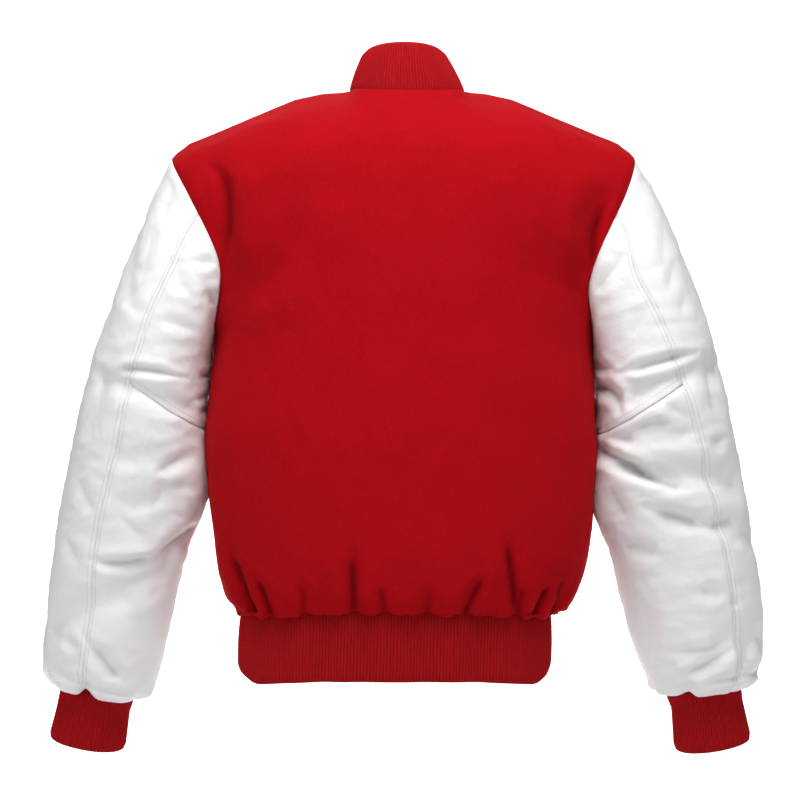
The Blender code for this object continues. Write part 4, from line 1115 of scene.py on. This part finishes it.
# How far the easing of the body's skin reaches: in levels up and down, in columns of the grid from its edges
# and, below the neck's sides, in shares of its half width across
UNDERARM_EASE, EASE_FADE, EASE_COLUMNS = 0.26, 0.2, 5.0
NECK_EASE, NECK_EASE_FADE, NECK_EASE_START, NECK_EASE_END = 0.13, 0.1, 1.5, 0.12
EASING_PASSES = 70


def eased(points, weights, axis):
    """The points with each row or column drawn towards its neighbours, by the weights."""
    points = np.moveaxis(points.copy(), axis, 0)
    weights = np.moveaxis(weights, axis, 0)[1:-1, :, None]
    for _ in range(EASING_PASSES):
        points[1:-1] += 0.5 * weights * (0.5 * (points[:-2] + points[2:]) - points[1:-1])
    return np.moveaxis(points, 0, axis)


def smoothed_body(points, places):
    """The body's skin with the bend at the underarm's height and below the neck's sides eased away."""
    rows, columns = np.mgrid[0 : points.shape[0], 0 : points.shape[1]]
    levels = np.asarray(body_levels_fine())[rows]
    place = np.abs(np.asarray(places))[columns]
    edges = np.minimum(columns, columns[:, ::-1]) if places[0] < 0 else columns[:, ::-1]
    at_underarm = soft_step((UNDERARM_EASE - np.abs(levels - 1.0)) / EASE_FADE)
    points = eased(points, soft_step(edges / EASE_COLUMNS) * at_underarm, 0)
    beside_neck = soft_step((NECK_EASE - np.abs(place - NECK_SHARE)) / NECK_EASE_FADE)
    below_neck = soft_step((levels - NECK_EASE_START) / EASE_FADE) * soft_step((2.0 - levels) / NECK_EASE_END)
    return eased(points, beside_neck * below_neck, 1)


# A point inside the body for each point of its skin
BODY_MIDDLE_SHARE = np.array((0.3, 0.0, 1.0))
BODY_MIDDLE_DROP = np.array((0.0, 0.0, 0.03))


def body_form(point_at, columns, places, face, creases, seams, seed):
    """A panel of the body with its creases, swells, gathers and seams."""
    points = as_array([[point_at(column, level) for column in columns] for level in body_levels_fine()])
    points = smoothed_body(points, places)
    middle = points * BODY_MIDDLE_SHARE - BODY_MIDDLE_DROP
    normals = turned_out(points, surface_normals(points), middle)
    x, z = points[..., 0], points[..., 2]
    relief, fold = (value * seen_share(normals, face) for value in crease_relief(x, z, creases, WOOL_FULL_SHADE_DEPTH))
    relief *= bpy.context.scene.jacket_sizes.crease_depth
    relief += swelling(points, WOOL_SWELLS, seed)
    length = edge_distances(points)
    above_hem = length["row0"]
    for seam in seams:
        relief *= soft_step(length[seam] / (HEM_CALM if seam == "row0" else BODY_CALM))
    half = np.abs(x).max(axis=1, keepdims=True)
    at_side = soft_step((np.abs(x) / half - SIDE_START) / (1.0 - SIDE_START))
    relief -= SIDE_PULL * at_side * bell(above_hem - SIDE_PULL_HEIGHT, SIDE_PULL_RUN)
    drawn = ripple(points * DRAWN_STRETCH, DRAWN_LENGTH, seed + 9)
    relief += DRAWN_HEIGHT * drawn * bell(above_hem, DRAWN_RUN) * soft_step(above_hem / DRAWN_START)
    for seam in seams:
        relief += seam_relief(length[seam], HEM_SEAM if seam == "row0" else BODY_SEAM)
    return Sheet(points + normals * relief[..., None], normals, fold)


def back_form():
    places = [column / BODY_FINE for column in range(-BODY_FINE, BODY_FINE + 1)]
    point_at = functools.partial(body_point, BACK)
    seams = ("row0", "row1", "col0", "col1")
    return body_form(point_at, places, places, BACK, BACK_CREASES, seams, BACK_SEED)


def front_form(side):
    columns = [(HALF_COLUMNS + 1) * column / FRONT_FINE for column in range(FRONT_FINE + 1)]
    places = [max(0.0, column - 1.0) / HALF_COLUMNS for column in columns]
    point_at = functools.partial(front_at, side)
    seams = ("row0", "row1", "col1")
    return body_form(point_at, columns, places, FRONT, FRONT_CREASES, seams, FRONT_SEED + side)


def rib_stations(knit, samples=700):
    """Stations that lie evenly round a knitted piece, several to a rib."""
    stations = [knit.last * n / samples for n in range(samples + 1)]
    ring = np.array([tuple(knit.place(station, 0.5)) for station in stations])
    lengths = lengths_along(ring)
    ribs = round(lengths[-1] / knit.pitch)
    return np.interp(np.linspace(0.0, lengths[-1], ribs * RIB_SAMPLES + 1), lengths, stations)


def knitted(knit):
    """The form of a rib-knit piece, with raised ribs and a rounded foot."""
    stations = rib_stations(knit)
    shares = [-knit.tuck_in] + [row / BAND_ROWS for row in range(BAND_ROWS + 1)]
    points = as_array([[knit.place(station, share) for station in stations] for share in shares])
    middle = points.mean(axis=1, keepdims=True) + np.zeros_like(points)
    normals = turned_out(points, surface_normals(points, wraps=knit.wraps), middle)
    phase = np.arange(len(stations)) / RIB_SAMPLES
    crest = 1.0 - np.abs(np.cos(math.pi * phase)) ** RIB_ROUNDNESS
    length = edge_distances(points)
    seam, foot = length["row0"], length["row1"]
    relief = knit.rib * crest[None, :] * lerp(RIB_AT_SEAM, 1.0, soft_step(seam / RIB_SEAM_RUN))
    relief -= knit.rounding * np.clip(1.0 - foot / FOOT_ROUNDING, 0.0, 1.0) ** 2
    swell = KNIT_SWELL * ripple(points, KNIT_SWELL_LENGTH, KNIT_SEED)
    relief += swell - KNIT_DITCH * bell(seam, KNIT_DITCH_WIDTH)
    courses = seam / KNIT_COURSE
    turned = np.clip(1.0 - foot / FOOT_TURN, 0.0, 1.0) ** 2
    wall = bpy.context.scene.jacket_sizes.rib_wall * (1.0 - FOOT_THINNING * turned)
    inside = points - normals * wall[..., None]
    ribs = (np.broadcast_to(phase[None, :], courses.shape), courses)
    return Sheet(points + normals * relief[..., None], normals, np.zeros(relief.shape), inside, ribs)


def round_place(point_at, front, back, station, share):
    """A point of a band at a station from its right end, over front and back, round to its left end."""
    if station <= front:
        return point_at(RIGHT, FRONT, station, share)
    if station <= front + back:
        return point_at(RIGHT, BACK, front + back - station, share)
    if station <= front + 2 * back:
        return point_at(LEFT, BACK, station - front - back, share)
    return point_at(LEFT, FRONT, max(0.0, 2 * front + 2 * back - station), share)


def collar_place(station, share):
    return round_place(collar_point, 1, 1, station, share)


def curled_band(station, share):
    """A point of the hem band, whose foot curls up and in at the jacket's sides."""
    point = round_place(hem_point, HALF_COLUMNS + 1, HALF_COLUMNS, station, share)
    inset = BODY_RINGS[0].half_width - abs(point.x - BODY_RINGS[0].centre)
    out = min(1.0, max(0.0, 1.0 - inset / BAND_CORNER))
    down = max(0.0, 1.0 - (1.0 - share) / BAND_CORNER_SHARE)
    bulge = BAND_BULGE * out * math.sin(math.pi * min(1.0, max(0.0, share)))
    curl_in = BAND_CORNER * out * (1.0 - math.sqrt(1.0 - 0.5 * down * down))
    curl_up = BAND_CORNER * down * (1.0 - math.sqrt(1.0 - 0.5 * out * out))
    return point + Vector(((bulge - curl_in) * math.copysign(1.0, point.x), 0.0, curl_up))


def cuff_place(side, turn, share):
    return cuff_point(side, turn % 360.0, share)


# A rib-knit piece: where its points lie, its last station, the pitch and height of its ribs, how far its foot
# is rounded off, whether it closes on itself and how far it is tucked in at its seam
Knit = namedtuple("Knit", "place last pitch rib rounding wraps tuck_in")
LEFT_CUFF_PLACE, RIGHT_CUFF_PLACE = (functools.partial(cuff_place, side) for side in (LEFT, RIGHT))
KNITS = {
    "collar": Knit(collar_place, 4.0, COLLAR_PITCH, 0.0009, 0.0018, False, TUCK_IN),
    "hem_band": Knit(curled_band, 4.0 * HALF_COLUMNS + 2.0, HEM_PITCH, 0.0012, 0.0022, False, TUCK_IN),
    "cuff_left": Knit(LEFT_CUFF_PLACE, 360.0, CUFF_PITCH, 0.0010, 0.0018, True, CUFF_TUCK_IN),
    "cuff_right": Knit(RIGHT_CUFF_PLACE, 360.0, CUFF_PITCH, 0.0010, 0.0018, True, CUFF_TUCK_IN),
}


def sleeve_cuts(side):
    """Each sleeve piece's name, its first and last column and its first and last section."""
    word = WORDS[side]
    end = len(SLEEVES[side]) - 1
    back, front = BACK_SEAM_COLUMN, FRONT_SEAM_COLUMN
    return (
        (f"top_sleeve_{word}", front, SLEEVE_COLUMNS + back, 0, end),
        (f"under_sleeve_upper_{word}", back, front, 0, ELBOW_SECTION),
        (f"under_sleeve_lower_{word}", back, front, ELBOW_SECTION, end),
    )


def finished_mesh(name, bm):
    mesh = bpy.data.meshes.new(name)
    bm.to_mesh(mesh)
    bm.free()
    return mesh


def laid_mesh(name, points):
    """A mesh grid laid on rows and columns of points; also gives each vertex's row and column."""
    rows, columns = points.shape[:2]
    bm = bmesh.new()
    bmesh.ops.create_grid(bm, x_segments=columns - 1, y_segments=rows - 1, size=0.5)
    mesh = finished_mesh(name, bm)
    flat = np.empty(len(mesh.vertices) * 3, np.float32)
    mesh.vertices.foreach_get("co", flat)
    flat = flat.reshape(-1, 3)
    row = np.rint((flat[:, 1] + 0.5) * (rows - 1)).astype(int)
    column = np.rint((flat[:, 0] + 0.5) * (columns - 1)).astype(int)
    mesh.vertices.foreach_set("co", points[row, column].astype(np.float32).ravel())
    mesh.update()
    return mesh, row, column


def wall_grid(outer, inner, wraps):
    """Rows that run down the outside and back up the inside, closed by a soft edge at each end."""
    middle = 0.5 * (outer + inner)
    low, high = middle[:1], middle[-1:]
    grid = np.concatenate([low, outer, high, inner[::-1], low])
    if wraps:
        return grid
    ends = np.concatenate([low, middle, high, middle[::-1], low])
    return np.concatenate([ends[:, :1], grid, ends[:, -1:]], axis=1)


def close_wall(mesh, normals, counted):
    """Turns a wall's faces to the side that its outer normals point to, and joins the rows that meet."""
    bm = bmesh.new()
    bm.from_mesh(mesh)
    faces = list(bm.faces)
    votes = 0.0
    for face in faces[:: max(1, len(faces) // FACES_ASKED)]:
        vert = face.verts[0].index
        if counted[vert]:
            votes += face.normal.dot(Vector(normals[vert]))
    if votes < 0:
        bmesh.ops.reverse_faces(bm, faces=faces)
    bmesh.ops.remove_doubles(bm, verts=bm.verts[:], dist=JOIN_DISTANCE)
    bm.to_mesh(mesh)
    bm.free()


def add_object(name, data):
    made = bpy.data.objects.new(name, data)
    bpy.context.scene.collection.objects.link(made)
    return made


def placed(name, mesh, material, slot):
    """The object of a finished mesh: smooth, in one material, moving with the jacket."""
    mesh.shade_smooth()
    mesh.materials.append(material)
    piece = add_object(name, mesh)
    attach(piece, "root")
    return piece


def shell(name, form, thickness, material, slot, wraps=False):
    """A thin closed wall of cloth: its outside lies on the form's points and its inside a thickness in."""
    inner = form.inside if form.inside is not None else form.points - form.normals * thickness
    mesh, row, column = laid_mesh(name, wall_grid(form.points, inner, wraps))

    def on_wall(values):
        return wall_grid(values, values, wraps)[row, column]

    if form.ribs is not None:
        layer = mesh.uv_layers.new(name="knit")
        corners = np.empty(len(mesh.loops), np.int32)
        mesh.loops.foreach_get("vertex_index", corners)
        places = [on_wall(values)[corners] for values in form.ribs]
        layer.data.foreach_set("uv", np.stack(places, axis=1).ravel().astype(np.float32))
    # The fold share, by which the materials paint shade into folds and creases
    fold = mesh.attributes.new("fold", "FLOAT", "POINT")
    fold.data.foreach_set("value", on_wall(form.fold).astype(np.float32))
    middle = len(form.points) // 2
    close_wall(mesh, on_wall(form.normals), np.abs(row - middle) < middle // 2)
    return placed(name, mesh, material, slot)


def dress(node, form, thickness, material, slot, **more):
    """A shell that stands for one node, whose part it hides."""
    piece = shell(f"{node}_cloth", form, thickness, material, slot, **more)
    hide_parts(node)
    cut = CUTS[node]
    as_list(cut.rests_on)
    return piece


def seam_line(form, edge, inset):
    """Points and normals that run along one edge of a form, a set distance in from it."""
    grids = [edge_distances(form.points)[edge], form.points, form.normals]
    if edge.startswith("row"):
        grids = [np.swapaxes(grid, 0, 1) for grid in grids]
    if edge.endswith("1"):
        grids = [grid[:, ::-1] for grid in grids]
    spots, ups = [], []
    for gaps, row, row_normals in zip(*grids):
        n = min(len(gaps) - 1, max(1, int(np.searchsorted(gaps, inset))))
        share = (inset - gaps[n - 1]) / max(1e-9, gaps[n] - gaps[n - 1])
        spots.append(row[n - 1] + (row[n] - row[n - 1]) * share)
        ups.append(row_normals[n])
    return np.array(spots), np.array(ups)


def stitch(bm, a, b, up, thread):
    """One stitch from a to b: a short bar whose ends sink into the cloth."""
    run = b - a
    across = run.cross(up).normalized()
    up = across.cross(run).normalized()
    turn = Matrix((across, up, run.normalized())).transposed().to_4x4()
    place = Matrix.Translation(0.5 * (a + b) + up * thread * STITCH_RISE) @ turn
    size = {"radius1": thread * 0.5, "radius2": thread * 0.5, "depth": run.length}
    bar = bmesh.ops.create_cone(bm, cap_ends=True, segments=6, **size, matrix=place)["verts"]
    for vert in bar:
        inward = (vert.co - 0.5 * (a + b)).dot(run.normalized())
        vert.co -= up * thread * STITCH_SINK * (abs(inward) / (0.5 * run.length)) ** 2 * 0.5


def stitches(name, lines, pitch, thread, material, slot):
    """Rows of lockstitch as one mesh."""
    bm = bmesh.new()
    for points, normals in lines:
        lengths = lengths_along(points)
        count = max(1, int(lengths[-1] / pitch))

        def at(length, values):
            return Vector([np.interp(length, lengths, values[:, k]) for k in range(3)])

        for n in range(count):
            middle = (n + 0.5) * lengths[-1] / count
            a, b = (at(middle + way * STITCH_HALF * pitch, points) for way in (-1, 1))
            stitch(bm, a, b, at(middle, normals).normalized(), thread)
    bmesh.ops.recalc_face_normals(bm, faces=bm.faces[:])
    return placed(name, finished_mesh(name, bm), material, slot)


class Signal:
    """A shader socket whose Python operators add Math nodes."""

    def __init__(self, shading, socket):
        self.shading = shading
        self.socket = socket

    def maths(self, operation, *values):
        return self.shading.add("Math", {"operation": operation}, *values)

    def __add__(self, other):
        return self.maths("ADD", self, other)

    def __radd__(self, other):
        return self.maths("ADD", other, self)

    def __sub__(self, other):
        return self.maths("SUBTRACT", self, other)

    def __rsub__(self, other):
        return self.maths("SUBTRACT", other, self)

    def __mul__(self, other):
        return self.maths("MULTIPLY", self, other)

    def __abs__(self):
        return self.maths("ABSOLUTE", self)

    def __neg__(self):
        return self.maths("MULTIPLY", self, -1.0)

    def clamped(self):
        return self.shading.add("Clamp", {}, self)

    def ramp(self, low, high):
        """0 below low and 1 above high."""
        return self.shading.add("MapRange", {"interpolation_type": "SMOOTHSTEP"}, self, low, high, 0.0, 1.0)


class Shading:
    """A Principled material and the nodes that feed it."""

    def __init__(self, name, **uniform):
        self.material = bpy.data.materials.new(name)
        self.material.use_nodes = True
        self.tree = self.material.node_tree
        self.surface = self.tree.nodes["Principled BSDF"]
        self.feed(**uniform)

    def give(self, socket, value):
        """Links a signal to a socket, or sets the socket to a plain value."""
        if isinstance(value, Signal):
            self.tree.links.new(value.socket, socket)
        elif value is not None:
            socket.default_value = value

    def add(self, kind, settings, *values, output=0, **named):
        """Adds a node of a kind, sets it, gives its inputs values or links, and returns one output."""
        made = self.tree.nodes.new("ShaderNode" + kind)
        for key, value in settings.items():
            setattr(made, key, value)
        for socket, value in zip(made.inputs, values):
            self.give(socket, value)
        for name, value in named.items():
            self.give(made.inputs[name], value)
        return Signal(self, made.outputs[output])

    def place(self, scale=(1.0, 1.0, 1.0)):
        """Object coordinates, stretched by a scale."""
        coordinates = self.add("TexCoord", {}, output=3)
        return self.add("Mapping", {}, coordinates, None, None, scale)

    def fold(self):
        """How far a point lies in a fold of its cloth, from 0 to 1, which sets the shade painted into its
        colour.
        """
        return self.add("Attribute", {"attribute_name": "fold"}, output=2)

    def noise(self, vector, scale, detail=3.0, roughness=0.55):
        return self.add("TexNoise", {}, vector, None, scale, detail, roughness)

    def parts(self, vector):
        """The three coordinates of a vector."""
        first = self.add("SeparateXYZ", {}, vector)
        return [Signal(self, output) for output in first.socket.node.outputs]

    def mixed(self, share, low, high):
        """A colour between two colours."""
        unused = [None] * 5
        return self.add("Mix", {"data_type": "RGBA"}, share, *unused, low, high, output=2)

    def bump(self, height, strength, distance, under=None):
        return self.add("Bump", {}, Strength=strength, Distance=distance, Height=height, Normal=under)

    def feed(self, **links):
        """Links signals to the surface's inputs and returns the finished material."""
        for name, value in links.items():
            self.give(self.surface.inputs[name.replace("_", " ")], value)
        return self.material


def shade(color, factor):
    return tuple(min(1.0, channel * factor) for channel in color[:3]) + (1.0,)


def red_sheen(green, blue):
    """The faint glow of short fibres on red cloth."""
    return {"Sheen_Weight": 0.12, "Sheen_Roughness": 0.5, "Sheen_Tint": (1.0, green, blue, 1.0)}


@functools.lru_cache(maxsize=None)
def melton_wool():
    """Milled wool: a matt felted face with a short nap, faint mottling, stray fibres and painted shade in its
    folds.
    """
    color = tuple(bpy.context.scene.jacket_colors.wool)
    wool = Shading("melton wool", Roughness=0.93, Specular_IOR_Level=0.03, **red_sheen(0.06, 0.08))
    here = wool.place()
    nap = wool.noise(here, 1150.0, 4.0, 0.65)
    felt = wool.noise(wool.place((1.0, 1.0, 0.7)), 330.0, 3.0, 0.6)
    cloud = wool.noise(here, 21.0, 2.0)
    tone = (0.5 + (felt - 0.5) * 0.85 + (nap - 0.5) * 0.75 + (cloud - 0.5) * 0.35).clamped()
    base = wool.mixed(tone, shade(color, 0.80), shade(color, 1.20))
    fibre = wool.noise(wool.place((0.6, 1.0, 1.6)), 1700.0, 2.0, 0.5).ramp(0.70, 0.78)
    base = wool.mixed(fibre * 0.35, base, shade((color[0] * 1.25, color[1] * 5.0, color[2] * 4.0), 1.0))
    # Painted shade: the colour is darkened along the middle of folds and creases, by the fold share
    base = wool.mixed(wool.fold() * 0.85, base, shade(color, 0.28))
    relief = wool.bump(felt * 0.5 + nap * 0.5, 0.55, 0.0007)
    return wool.feed(Base_Color=base, Roughness=0.88 + (nap * 0.1), Normal=relief)


@functools.lru_cache(maxsize=None)
def sleeve_leather():
    """Soft finished leather: a fine pebble grain, small draw wrinkles, an uneven satin face and painted shade
    in creases.
    """
    color = tuple(bpy.context.scene.jacket_colors.leather)
    finish = {"Roughness": 0.45, "Specular_IOR_Level": 0.42, "Coat_Weight": 0.06, "Coat_Roughness": 0.35}
    leather = Shading("sleeve leather", **finish)
    here = leather.place()
    pebble = leather.add("TexVoronoi", {"feature": "SMOOTH_F1"}, here, None, 620.0)
    fine = leather.noise(here, 1500.0, 2.0)
    draw = leather.noise(leather.place((1.0, 1.0, 1.4)), 95.0, 5.0, 0.62)
    cloud = leather.noise(here, 17.0, 3.0)
    tone = (0.5 + (cloud - 0.5) * 0.9 + (draw - 0.5) * 0.35).clamped()
    base = leather.mixed(tone, shade(color, 0.955), shade(color, 1.02))
    # Painted shade: the colour is darkened along the middle of creases and in the notch above the cuff
    base = leather.mixed(leather.fold() * 0.65, base, shade(color, 0.42))
    relief = leather.bump(draw, 0.32, 0.0016)
    relief = leather.bump(pebble * 0.8 + fine * 0.2, 0.30, 0.00028, under=relief)
    return leather.feed(Base_Color=base, Roughness=0.38 + draw * 0.20, Normal=relief)


@functools.lru_cache(maxsize=None)
def rib_knit():
    """One-by-one rib: painted shade in the valleys between the ribs and rows of knit stitches on their
    crests.
    """
    color = tuple(bpy.context.scene.jacket_colors.rib)
    knit = Shading("rib knit", Roughness=0.95, Specular_IOR_Level=0.05, **red_sheen(0.12, 0.12))
    across, up, _ = knit.parts(knit.add("UVMap", {"uv_map": "knit"}))
    phase = across.maths("FRACT", across)
    off_crest = abs(phase - 0.5) * 2.0
    slant = up - off_crest * 0.55
    course = abs(slant.maths("FRACT", slant) - 0.5) * 2.0
    fuzz = knit.noise(knit.place(), 1300.0, 3.0, 0.6)
    # Painted shade: the valleys between the raised ribs are darkened in the colour
    valley = off_crest.ramp(0.62, 1.0)
    tone = (0.62 + (fuzz - 0.5) * 0.6 - valley * 0.45 - course.ramp(0.6, 1.0) * 0.22).clamped()
    base = knit.mixed(tone, shade(color, 0.55), shade(color, 1.25))
    relief = knit.bump((1.0 - course) * (1.0 - valley) + fuzz * 0.3, 0.6, 0.0005)
    return knit.feed(Base_Color=base, Normal=relief)


@functools.lru_cache(maxsize=None)
def sewing_thread():
    """Twisted thread with a slight gloss."""
    color = tuple(bpy.context.scene.jacket_colors.thread)
    thread = Shading("sewing thread", Roughness=0.6, Specular_IOR_Level=0.35)
    twist = thread.noise(thread.place(), 2400.0, 2.0)
    base = thread.mixed(twist, shade(color, 0.82), shade(color, 1.0))
    return thread.feed(Base_Color=base, Normal=thread.bump(twist, 0.4, 0.0001))


@functools.lru_cache(maxsize=None)
def snap_enamel():
    """Baked enamel on a pressed cap, with faint haze and rubbing."""
    color = tuple(bpy.context.scene.jacket_colors.snap)
    enamel = Shading("snap enamel", Roughness=0.22, Coat_Weight=0.4, Coat_Roughness=0.12)
    haze = enamel.noise(enamel.place(), 240.0, 4.0)
    base = enamel.mixed(haze, shade(color, 0.95), shade(color, 1.02))
    return enamel.feed(Base_Color=base, Roughness=0.16 + haze * 0.16, Normal=enamel.bump(haze, 0.15, 0.0001))


def studio_white():
    """The plain pale paper of the floor and backdrop, which itself glows with painted light well behind the
    jacket.
    """
    paper = Shading("studio white", Roughness=0.95, Specular_IOR_Level=0.1, Emission_Strength=1.0)
    here = paper.place()
    grain = paper.noise(here, 9.0, 2.0)
    across, depth, height = paper.parts(here)
    # Painted light: the paper glows in a zone well behind the jacket, fading at its sides and top
    glow = (-depth).ramp(0.10, 0.38)
    glow = glow * (1.0 - abs(across).ramp(GLOW_HALF_WIDTH, GLOW_HALF_WIDTH + GLOW_FADE))
    glow = glow * (1.0 - height.ramp(GLOW_TOP, GLOW_TOP + GLOW_FADE))
    base = paper.mixed(grain, (0.80, 0.80, 0.80, 1.0), (0.83, 0.83, 0.83, 1.0))
    return paper.feed(Base_Color=base, Emission_Color=paper.mixed(glow, (0.0, 0.0, 0.0, 1.0), WHITE))


COLOR = {"subtype": "COLOR", "size": 3, "min": 0.0, "max": 1.0}


class JacketSizes(bpy.types.PropertyGroup):
    """Sizes of the dressed jacket that a user would change."""

    wool_wall: bpy.props.FloatProperty(
        name="Wool thickness", description="Thickness of the melton body",
        default=0.0023, min=0.001, max=0.004, unit="LENGTH",
    )
    leather_wall: bpy.props.FloatProperty(
        name="Leather thickness", description="Thickness of the sleeves",
        default=0.0017, min=0.0008, max=0.003, unit="LENGTH",
    )
    rib_wall: bpy.props.FloatProperty(
        name="Rib thickness", description="Thickness of the doubled rib knit",
        default=0.0030, min=0.001, max=0.005, unit="LENGTH",
    )
    crease_depth: bpy.props.FloatProperty(
        name="Crease depth", description="Scale of every crease's depth",
        default=1.0, min=0.0, max=2.0,
    )
    stitch_pitch: bpy.props.FloatProperty(
        name="Stitch length", description="Length of one topstitch",
        default=0.0036, min=0.002, max=0.008, unit="LENGTH",
    )
    stitch_thread: bpy.props.FloatProperty(
        name="Thread", description="Diameter of the topstitching thread",
        default=0.0006, min=0.0002, max=0.0015, unit="LENGTH",
    )


class JacketColors(bpy.types.PropertyGroup):
    """Colours of the dressed jacket."""

    wool: bpy.props.FloatVectorProperty(
        name="Wool", description="Melton body", default=(0.415, 0.0040, 0.0080), **COLOR
    )
    leather: bpy.props.FloatVectorProperty(
        name="Leather", description="Sleeves", default=(0.935, 0.948, 0.958), **COLOR
    )
    rib: bpy.props.FloatVectorProperty(
        name="Rib knit", description="Collar, cuffs and band", default=(0.435, 0.0085, 0.0120), **COLOR
    )
    thread: bpy.props.FloatVectorProperty(
        name="Thread", description="Topstitching", default=(0.74, 0.74, 0.75), **COLOR
    )
    snap: bpy.props.FloatVectorProperty(
        name="Snaps", description="Enamelled caps", default=(0.80, 0.80, 0.79), **COLOR
    )


def add_paper(name, paper, place):
    """A wide flat sheet of the stage's paper."""
    bm = bmesh.new()
    bmesh.ops.create_grid(bm, x_segments=1, y_segments=1, size=PAPER_SIZE, matrix=place)
    mesh = finished_mesh(name, bm)
    mesh.materials.append(paper)
    add_object(name, mesh)


class JACKET_OT_stage(bpy.types.Operator):
    """Set up the floor, backdrop, lights and camera"""

    bl_idname = "jacket.stage"
    bl_label = "Stage"

    def execute(self, context):
        scene = context.scene
        scene.view_settings.view_transform = "Standard"
        paper = studio_white()
        add_paper("floor", paper, Matrix.Translation((0.0, 0.0, FLOOR_HEIGHT)))
        upright = Matrix.Rotation(math.radians(90.0), 4, "X")
        add_paper("backdrop", paper, Matrix.Translation((0.0, BACKDROP_DEPTH, 0.0)) @ upright)
        world = bpy.data.worlds.new("studio")
        world.use_nodes = True
        background = world.node_tree.nodes["Background"]
        background.inputs["Color"].default_value = WHITE
        background.inputs["Strength"].default_value = WORLD_STRENGTH
        scene.world = world
        for lamp in LAMPS:
            light = bpy.data.lights.new(lamp.name, "AREA")
            light.size = lamp.size
            light.energy = lamp.power
            made = add_object(lamp.name, light)
            made.location = lamp.place
            made.visible_camera = False
            made.rotation_euler = (LOOK_AT - Vector(lamp.place)).to_track_quat("-Z", "Y").to_euler()
        lens = bpy.data.cameras.new("camera")
        lens.sensor_width = 36.0
        lens.lens = CAMERA_LENS
        camera = add_object("camera", lens)
        camera.location = (LOOK_AT.x, CAMERA_FAR, LOOK_AT.z)
        camera.rotation_euler = (math.radians(90.0), 0.0, math.radians(180.0))
        scene.camera = camera
        return {"FINISHED"}


class JACKET_OT_body(bpy.types.Operator):
    """Dress the back and the two fronts in melton wool"""

    bl_idname = "jacket.body"
    bl_label = "Wool body"

    def execute(self, context):
        wall = context.scene.jacket_sizes.wool_wall
        dress("back", back_form(), wall, melton_wool(), "wool_melton")
        for side in (LEFT, RIGHT):
            dress(f"front_{WORDS[side]}", front_form(side), wall, melton_wool(), "wool_melton")
        return {"FINISHED"}


class JACKET_OT_sleeves(bpy.types.Operator):
    """Dress the two-piece sleeves in leather"""

    bl_idname = "jacket.sleeves"
    bl_label = "Leather sleeves"

    def execute(self, context):
        wall = context.scene.jacket_sizes.leather_wall
        for side in (LEFT, RIGHT):
            for name, *cut in sleeve_cuts(side):
                dress(name, sleeve_piece_form(side, *cut), wall, sleeve_leather(), "sleeve_leather")
        return {"FINISHED"}


class JACKET_OT_knits(bpy.types.Operator):
    """Dress the collar, cuffs and hem band in rib knit"""

    bl_idname = "jacket.knits"
    bl_label = "Rib knits"

    def execute(self, context):
        wall = context.scene.jacket_sizes.rib_wall
        for node, knit in KNITS.items():
            dress(node, knitted(knit), wall, rib_knit(), "rib_knit", wraps=knit.wraps)
        return {"FINISHED"}


class JACKET_OT_stitching(bpy.types.Operator):
    """Sew the topstitching along the sleeve seams"""

    bl_idname = "jacket.stitching"
    bl_label = "Topstitching"

    def execute(self, context):
        sizes = context.scene.jacket_sizes
        for side in (LEFT, RIGHT):
            top, upper, lower = (sleeve_piece_form(side, *cut) for _, *cut in sleeve_cuts(side))
            beside = [(piece, edge) for piece in (top, upper, lower) for edge in ("col0", "col1")]
            lines = [seam_line(piece, edge, STITCH_INSET) for piece, edge in beside]
            lines.append(seam_line(upper, "row1", ELBOW_STITCH_INSET))
            size = (sizes.stitch_pitch, sizes.stitch_thread)
            stitches(f"topstitching_{WORDS[side]}", lines, *size, sewing_thread(), "sleeve_leather")
        return {"FINISHED"}


class JACKET_OT_snaps(bpy.types.Operator):
    """Give the snap caps their enamel"""

    bl_idname = "jacket.snaps"
    bl_label = "Snaps"

    def execute(self, context):
        for number in range(1, SNAP_COUNT + 1):
            node = bpy.data.objects[f"snap_{number}"]
            for slot in node.material_slots:
                slot.material = snap_enamel()
        return {"FINISHED"}


class JACKET_PT_panel(bpy.types.Panel):
    """The jacket's sizes, colours and steps"""

    bl_idname = "JACKET_PT_panel"
    bl_label = "Varsity jacket"
    bl_space_type = "VIEW_3D"
    bl_region_type = "UI"
    bl_category = "Jacket"

    def draw(self, context):
        for group in (context.scene.jacket_sizes, context.scene.jacket_colors):
            box = self.layout.box()
            for name in group.__annotations__:
                box.prop(group, name)
        for step in STEPS:
            self.layout.operator(step.bl_idname)


STEPS = (
    JACKET_OT_stage,
    JACKET_OT_body,
    JACKET_OT_sleeves,
    JACKET_OT_knits,
    JACKET_OT_stitching,
    JACKET_OT_snaps,
)
CLASSES = (JacketSizes, JacketColors, *STEPS, JACKET_PT_panel)


def register():
    for cls in CLASSES:
        bpy.utils.register_class(cls)
    bpy.types.Scene.jacket_sizes = bpy.props.PointerProperty(type=JacketSizes)
    bpy.types.Scene.jacket_colors = bpy.props.PointerProperty(type=JacketColors)


def unregister():
    del bpy.types.Scene.jacket_colors
    del bpy.types.Scene.jacket_sizes
    for cls in reversed(CLASSES):
        bpy.utils.unregister_class(cls)


def main():
    register()
    bpy.ops.jacket.stage()
    bpy.ops.jacket.body()
    bpy.ops.jacket.sleeves()
    bpy.ops.jacket.knits()
    bpy.ops.jacket.stitching()
    bpy.ops.jacket.snaps()


if __name__ == "__main__":
    main()
